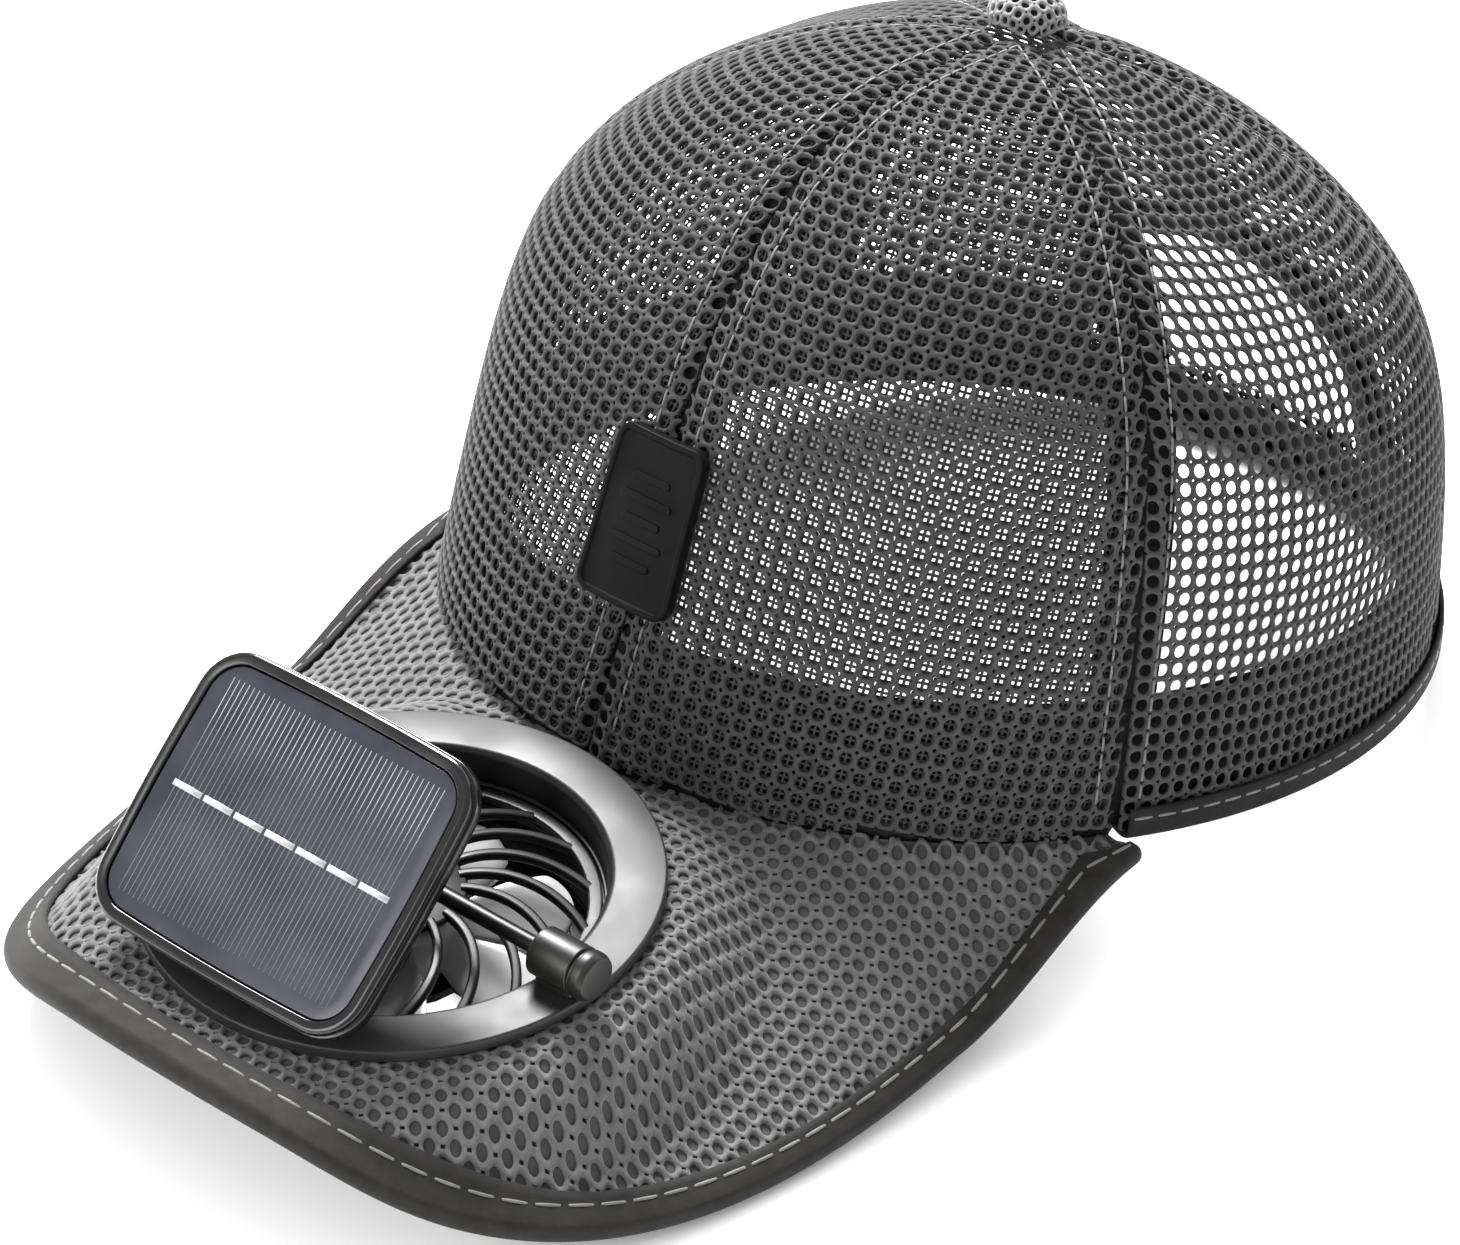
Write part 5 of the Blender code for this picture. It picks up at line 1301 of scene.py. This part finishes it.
bezel_profile = rounded_profile([
    (MOUTH_RADIUS, FLANGE_TOP - 1.0 * MM), (MOUTH_RADIUS + 1.0 * MM, FLANGE_TOP), (FLANGE_RADIUS, FLANGE_TOP),
    (FLANGE_RADIUS, FIT), (BARREL_RADIUS, FIT), (BARREL_RADIUS, -BEZEL_DEPTH),
    (GUARD_RING_RADIUS + FIT, -BEZEL_DEPTH), (GUARD_RING_RADIUS + FIT, -BEZEL_DEPTH + GUARD_RING_HEIGHT),
    (MOUTH_RADIUS - 0.3 * MM, -BEZEL_DEPTH + GUARD_RING_HEIGHT),
], 0.45 * MM, closed=True)
bezel_points, bezel_quads = turned(bezel_profile, 128)
bezel = add_piece("bezel_flange", placed(bezel_points, FAN), bezel_quads, bezel_plastic, "fan_plastic",
                  replaced=("fan_bezel",), crease=50)
bezel.data.materials.append(fan_plastic)
centre_radius = np.array([math.hypot(*((np.array(face.center) - FAN[0]) @ FAN[1].T)[:2])
                          for face in bezel.data.polygons])
bezel.data.polygons.foreach_set("material_index", (centre_radius < MOUTH_RADIUS + 0.9 * MM).astype(np.int32))

top, inside = -BEZEL_DEPTH - FIT, BARREL_RADIUS - HOUSING_WALL
housing_profile = rounded_profile([
    (HOUSING_LIP, top), (BARREL_RADIUS, top), (BARREL_RADIUS, -HOUSING_DEPTH + HOUSING_WALL),
    (inside, -HOUSING_DEPTH), (GRILLE_LIP, -HOUSING_DEPTH), (GRILLE_LIP, -HOUSING_DEPTH + HOUSING_WALL),
    (inside, -HOUSING_DEPTH + 2 * HOUSING_WALL), (inside, top - HOUSING_WALL), (HOUSING_LIP, top - HOUSING_WALL),
], 0.3 * MM, closed=True)
housing_points, housing_quads = turned(housing_profile, 96)
add_piece("housing_cup", placed(housing_points, FAN), housing_quads, fan_plastic, "fan_plastic",
          replaced=("fan_housing",), crease=50)

# %% [markdown]
# ## Guard
#
# Eighteen curved ribs run from the cap out to the ring. A rib is a rounded section carried along a path that
# sweeps back as it goes out and drops towards the ring.

# %% Guard
GUARD_CAP_RADIUS = 11.0 * MM
GUARD_CAP_TOP = 0.4 * MM
GUARD_CAP_WALL = 2.2 * MM
RIB_COUNT = 18
RIB_WIDTH = 1.7 * MM
RIB_HEIGHT = 1.7 * MM
RIB_SWEEP = math.radians(34.0)
RIB_ROOT = 1.2 * MM


def lofted(points, ends, flip=False):
    """Rows of closed sections joined by quads, with fans from the end sections to the two end points."""
    rows, sides = points.shape[:2]
    i, start = np.arange(sides), np.full(sides, rows * sides)
    after, last = (i + 1) % sides, (rows - 1) * sides
    quads = np.concatenate([grid_quads(rows, sides, closed=True), np.stack([after, i, start, start], axis=1),
                            np.stack([i + last, after + last, start + 1, start + 1], axis=1)])
    return np.concatenate([points.reshape(-1, 3), ends]), np.roll(quads[:, ::-1], 2, axis=1) if flip else quads


def swept(path, across, section):
    """A section of (across, up) points carried along a path; up is the Z of the frame."""
    up = np.array([0.0, 0.0, 1.0])
    points = path[:, None] + across[:, None] * section[None, :, :1] + up * section[None, :, 1:]
    return lofted(points, path[[0, -1]])


share = np.linspace(0.0, 1.0, 22)
rib_section = rounded_profile([(-RIB_WIDTH / 2, -RIB_HEIGHT), (RIB_WIDTH / 2, -RIB_HEIGHT),
                               (RIB_WIDTH / 2, 0.0), (-RIB_WIDTH / 2, 0.0)], 0.5 * MM, steps=3, closed=True)
rib_start, rib_end = GUARD_CAP_RADIUS - RIB_ROOT, GUARD_RING_RADIUS - GUARD_RING_WIDTH / 2
radius = rib_start + (rib_end - rib_start) * share
ring_top = -BEZEL_DEPTH + GUARD_RING_HEIGHT
high, low = GUARD_CAP_TOP - FIT, ring_top - FIT
guard_parts = []
for index in range(RIB_COUNT):
    angle = 2.0 * math.pi * index / RIB_COUNT - RIB_SWEEP * share ** 1.4
    path = np.stack([radius * np.cos(angle), radius * np.sin(angle), high + (low - high) * share ** 2.2], axis=1)
    ahead = np.gradient(path, axis=0)
    across = unit_rows(np.stack([ahead[:, 1], -ahead[:, 0], np.zeros(len(ahead))], axis=1))
    guard_parts.append(swept(path, across, rib_section))
ring_inside = GUARD_RING_RADIUS - GUARD_RING_WIDTH
ring_profile = rounded_profile([(ring_inside, ring_top), (GUARD_RING_RADIUS, ring_top),
                                (GUARD_RING_RADIUS, -BEZEL_DEPTH), (ring_inside, -BEZEL_DEPTH)],
                               0.4 * MM, closed=True)
guard_parts.append(turned(ring_profile, 96))
cap_profile = rounded_profile([
    (0.0, GUARD_CAP_TOP), (GUARD_CAP_RADIUS * 0.6, GUARD_CAP_TOP - 0.2 * MM),
    (GUARD_CAP_RADIUS, GUARD_CAP_TOP - 1.0 * MM), (GUARD_CAP_RADIUS, GUARD_CAP_TOP - GUARD_CAP_WALL),
    (0.0, GUARD_CAP_TOP - GUARD_CAP_WALL)], 0.6 * MM)
guard_parts.append(turned(cap_profile, 64, closed=False))
guard_points, guard_quads = joined(guard_parts)
add_piece("guard_ribs", placed(guard_points, FAN), guard_quads, fan_plastic, "fan_plastic",
          replaced=("fan_guard",), crease=50)

# %% [markdown]
# ## Rotor
#
# Seven twisted blades stand round the hub. A blade is a flat oval section lofted outwards: its chord widens
# and then closes to a rounded tip, and its pitch eases off towards the tip.

# %% Rotor
HUB_TOP = 4.2 * MM
HUB_BOTTOM = 13.0 * MM
HUB_RADIUS = 9.7 * MM
HUB_WALL = 1.2 * MM
BLADE_COUNT = 7
BLADE_TIP = 28.5 * MM
BLADE_CHORD = 12.5 * MM
BLADE_WALL = 1.2 * MM
BLADE_MIDDLE = 9.4 * MM
BLADE_ROWS, BLADE_SIDES = 30, 16
BLADE_SPANS = (0.0, 0.26, 0.56, 0.85, 1.0)
BLADE_CHORDS = (0.44, 0.72, 0.96, 1.0, 0.86)
BLADE_PITCHES = (40.0, 36.0, 30.0, 25.0, 22.0)

span = 1.0 - (1.0 - np.linspace(0.0, 1.0, BLADE_ROWS)) ** 2
tip_round = np.sqrt(np.clip(1.0 - np.clip((span - 0.80) / 0.2, 0.0, 1.0) ** 2.4, 0.0004, 1.0))
chord = np.interp(span, BLADE_SPANS, BLADE_CHORDS) * BLADE_CHORD * tip_round
pitch = np.radians(np.interp(span, BLADE_SPANS, BLADE_PITCHES))[:, None]
angle = np.arange(BLADE_SIDES) * 2.0 * math.pi / BLADE_SIDES
along = np.cos(angle)[None, :] * chord[:, None] / 2
wall = np.sign(np.sin(angle)) * np.abs(np.sin(angle)) ** 0.6 * BLADE_WALL / 2 * np.ones((BLADE_ROWS, 1))
radius = (HUB_RADIUS - HUB_WALL / 2 + (BLADE_TIP - HUB_RADIUS + HUB_WALL / 2) * span)[:, None]
arc = (along * np.cos(pitch) - wall * np.sin(pitch)) / radius
height = along * np.sin(pitch) + wall * np.cos(pitch) - BLADE_MIDDLE
rotor_parts = []
for index in range(BLADE_COUNT):
    start = 2.0 * math.pi * index / BLADE_COUNT
    points = np.stack([radius * np.cos(start + arc), radius * np.sin(start + arc), height], axis=-1)
    rotor_parts.append(lofted(points, points[[0, -1]].mean(axis=1), flip=True))
hub_profile = rounded_profile([
    (0.0, -HUB_TOP), (HUB_RADIUS - HUB_WALL, -HUB_TOP), (HUB_RADIUS, -HUB_TOP - HUB_WALL),
    (HUB_RADIUS, -HUB_BOTTOM), (HUB_RADIUS - HUB_WALL, -HUB_BOTTOM),
    (HUB_RADIUS - HUB_WALL, -HUB_TOP - 2.2 * MM), (0.0, -HUB_TOP - 2.2 * MM),
], 0.5 * MM)
rotor_parts.append(turned(hub_profile, 64, closed=False))
rotor_points, rotor_quads = joined(rotor_parts)
add_piece("rotor_blades", placed(rotor_points, FAN), rotor_quads, blade_plastic, "blade_plastic", body="rotor",
          replaced=("fan_rotor",), crease=60)

# %% [markdown]
# ## Hinge
#
# Two friction barrels stand on the flange and hold a steel shaft. A barrel is turned about X: a body, a groove
# and a rounded end cap, with a foot under it.

# %% Hinge barrels and shaft
HINGE_RADIUS = 4.25 * MM
HINGE_INNER = 34.5 * MM
HINGE_LENGTH = 11.7 * MM
SHAFT_RADIUS = 1.5 * MM
SHAFT_REACH = 42.0 * MM
HINGE_MIDDLE = 38.9 * MM
HINGE_FOOT = {"width": 7.6 * MM, "length": 6.0 * MM, "corner": 0.8 * MM}
shaft_place = HINGE[0]


def along_x(points, start, side):
    """A turned shape stood along X: its axis becomes X, from a start, outwards to a side."""
    return np.stack([side * (start + points[:, 2]), points[:, 0] * side, points[:, 1]], axis=1)


barrel_profile = rounded_profile([
    (0.0, HINGE_LENGTH), (HINGE_RADIUS - 0.5 * MM, HINGE_LENGTH), (HINGE_RADIUS, HINGE_LENGTH - 1.1 * MM),
    (HINGE_RADIUS, HINGE_LENGTH - 2.6 * MM), (HINGE_RADIUS - 0.55 * MM, HINGE_LENGTH - 2.7 * MM),
    (HINGE_RADIUS - 0.55 * MM, HINGE_LENGTH - 3.3 * MM), (HINGE_RADIUS, HINGE_LENGTH - 3.4 * MM),
    (HINGE_RADIUS, 0.0), (0.0, 0.0)], 0.35 * MM)
for side, name in ((1.0, "left"), (-1.0, "right")):
    barrel_points, barrel_quads = turned(barrel_profile, 48, closed=False)
    barrel_points = along_x(barrel_points, HINGE_INNER, side) @ FAN[1] + shaft_place
    foot_rings = plate_rim(1.0 * MM, 0.0, -HINGE_RADIUS, -1.2 * MM, 0.3 * MM)
    foot_points, foot_quads = stacked_plate(foot_rings, **HINGE_FOOT)
    foot_points = (foot_points + [side * HINGE_MIDDLE, 0.0, 0.0]) @ FAN[1] + shaft_place
    add_piece("barrel_" + name, *joined([(barrel_points, barrel_quads), (foot_points, foot_quads)]), knob_plastic,
              "fan_plastic", replaced=("hinge_barrel_" + name,), crease=50)
shaft_profile = rounded_profile([(0.0, 2 * SHAFT_REACH), (SHAFT_RADIUS, 2 * SHAFT_REACH), (SHAFT_RADIUS, 0.0),
                                 (0.0, 0.0)], 0.3 * MM)
shaft_points, shaft_quads = turned(shaft_profile, 32, closed=False)
shaft_points = along_x(shaft_points, -SHAFT_REACH, 1.0) @ FAN[1] + shaft_place
add_piece("shaft_rod", shaft_points, shaft_quads, steel, "steel", body="solar_panel",
          replaced=("panel_shaft",), crease=50)

# %% [markdown]
# ## Solar panel
#
# A glossy black frame with a rounded double lip holds the cell. The cell's fingers and its busbar are thin
# raised strips of silver paste, made as real strips so that they stay sharp.

# %% Panel frame and cell
PANEL_FROM_HINGE = (-3.0 * MM, -4.7 * MM, 18.8 * MM)
PANEL_PLACE = (HINGE[0] + np.array(PANEL_FROM_HINGE) @ HINGE[1], HINGE[1])
FRAME = {"width": 58.0 * MM, "length": 49.0 * MM, "corner": 8.0 * MM, "bow": 0.7 * MM}
FRAME_TOP = 7.0 * MM
FRAME_LIP = 2.4 * MM
CELL_DEPTH = 1.4 * MM
PLATE_MIDDLE = 20.0 * MM

seat = FRAME_TOP - CELL_DEPTH
side_path = rounded_profile([
    (8.0 * MM, 0.0), (3.2 * MM, 0.0), (1.0 * MM, 1.6 * MM), (0.0, 3.2 * MM), (0.0, 4.9 * MM),
    (0.55 * MM, 5.0 * MM), (0.55 * MM, 5.4 * MM), (0.25 * MM, 5.5 * MM), (0.25 * MM, FRAME_TOP - 0.4 * MM),
    (0.9 * MM, FRAME_TOP),
    (FRAME_LIP, FRAME_TOP - 0.1 * MM), (FRAME_LIP + 0.1 * MM, seat), (8.0 * MM, seat)], 0.3 * MM)
rings = np.concatenate([[[PLATE_MIDDLE, 0.0]], side_path, [[PLATE_MIDDLE, seat]]])
frame_points, frame_quads = stacked_plate(rings, **FRAME)
add_piece("panel_shell", placed(frame_points, PANEL_PLACE), frame_quads, frame_plastic, "frame_plastic",
          body="solar_panel", replaced=("panel_frame",), crease=50)
low, high = seat + 0.1 * MM, seat + 1.0 * MM
side_path = plate_rim(5.0 * MM, FRAME_LIP + FIT, low, high, 0.2 * MM)
rings = np.concatenate([[[PLATE_MIDDLE, low]], side_path, [[PLATE_MIDDLE, high]]])
cell_points, cell_quads = stacked_plate(rings, **FRAME)
add_piece("cell_plate", placed(cell_points, PANEL_PLACE), cell_quads, cell_glass, "cell_glass", body="solar_panel",
          replaced=("solar_cell",), crease=50)


def strips(name, places, size, rise, material):
    """Flat silver boxes of one size, side by side along the cell, rising a little over its face."""
    corner = np.array([[-1, -1], [1, -1], [1, 1], [-1, 1]]) / 2
    flat = np.stack([places, 0.0 * places], axis=1)[:, None] + corner * np.array(size)
    low, top = high - STRIP_SUNK, high + rise
    layers = [np.concatenate([flat, np.full(flat.shape[:2] + (1,), height)], axis=2) for height in (low, top)]
    points = np.concatenate(layers, axis=1).reshape(-1, 3)
    box = np.array([[3, 2, 1, 0], [4, 5, 6, 7], [0, 1, 5, 4], [1, 2, 6, 5], [2, 3, 7, 6], [3, 0, 4, 7]])
    add_piece(name, placed(points, PANEL_PLACE), repeated(box, 8, len(places)), material, "cell_glass",
              body="solar_panel", smooth=False)


def in_a_row(count, pitch):
    """Evenly spaced places about the middle."""
    return (np.arange(count) - (count - 1) / 2) * pitch


STRIP_SUNK = 0.05 * MM
FINGERS = {"count": 42, "pitch": 1.13 * MM}
FINGER_SIZE = (0.16 * MM, 39.0 * MM)
BUSBAR = {"count": 7, "pitch": 6.9 * MM}
BUSBAR_SIZE = (6.3 * MM, 1.1 * MM)
strips("cell_fingers", in_a_row(**FINGERS), FINGER_SIZE, 0.02 * MM, finger_silver)
strips("cell_busbar", in_a_row(**BUSBAR), BUSBAR_SIZE, 0.05 * MM, busbar_silver)

# %% [markdown]
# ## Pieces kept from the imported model
#
# The back grille, the motor and the panel's arm have the right shape already, so they only get a finish.

# %% Finishes of kept nodes
for node, material in (("fan_back_grille", fan_plastic), ("fan_motor", steel), ("panel_arm", frame_plastic)):
    mesh = frame["nodes"][node].data
    mesh.materials.clear()
    mesh.materials.append(material)
print("kept nodes dressed")

# %% Floor and its finish
FLOOR_SIZE = 6.0
floor_mesh = bpy.data.meshes.new("floor")
half = FLOOR_SIZE / 2
floor_mesh.from_pydata([(-half, -half, 0), (half, -half, 0), (half, half, 0), (-half, half, 0)], [],
                       [(0, 1, 2, 3)])
floor_material, *_ = new_material("floor_paper", (0.9, 0.9, 0.9), 0.9)
floor_mesh.materials.append(floor_material)
floor = bpy.data.objects.new("floor", floor_mesh)
bpy.context.scene.collection.objects.link(floor)
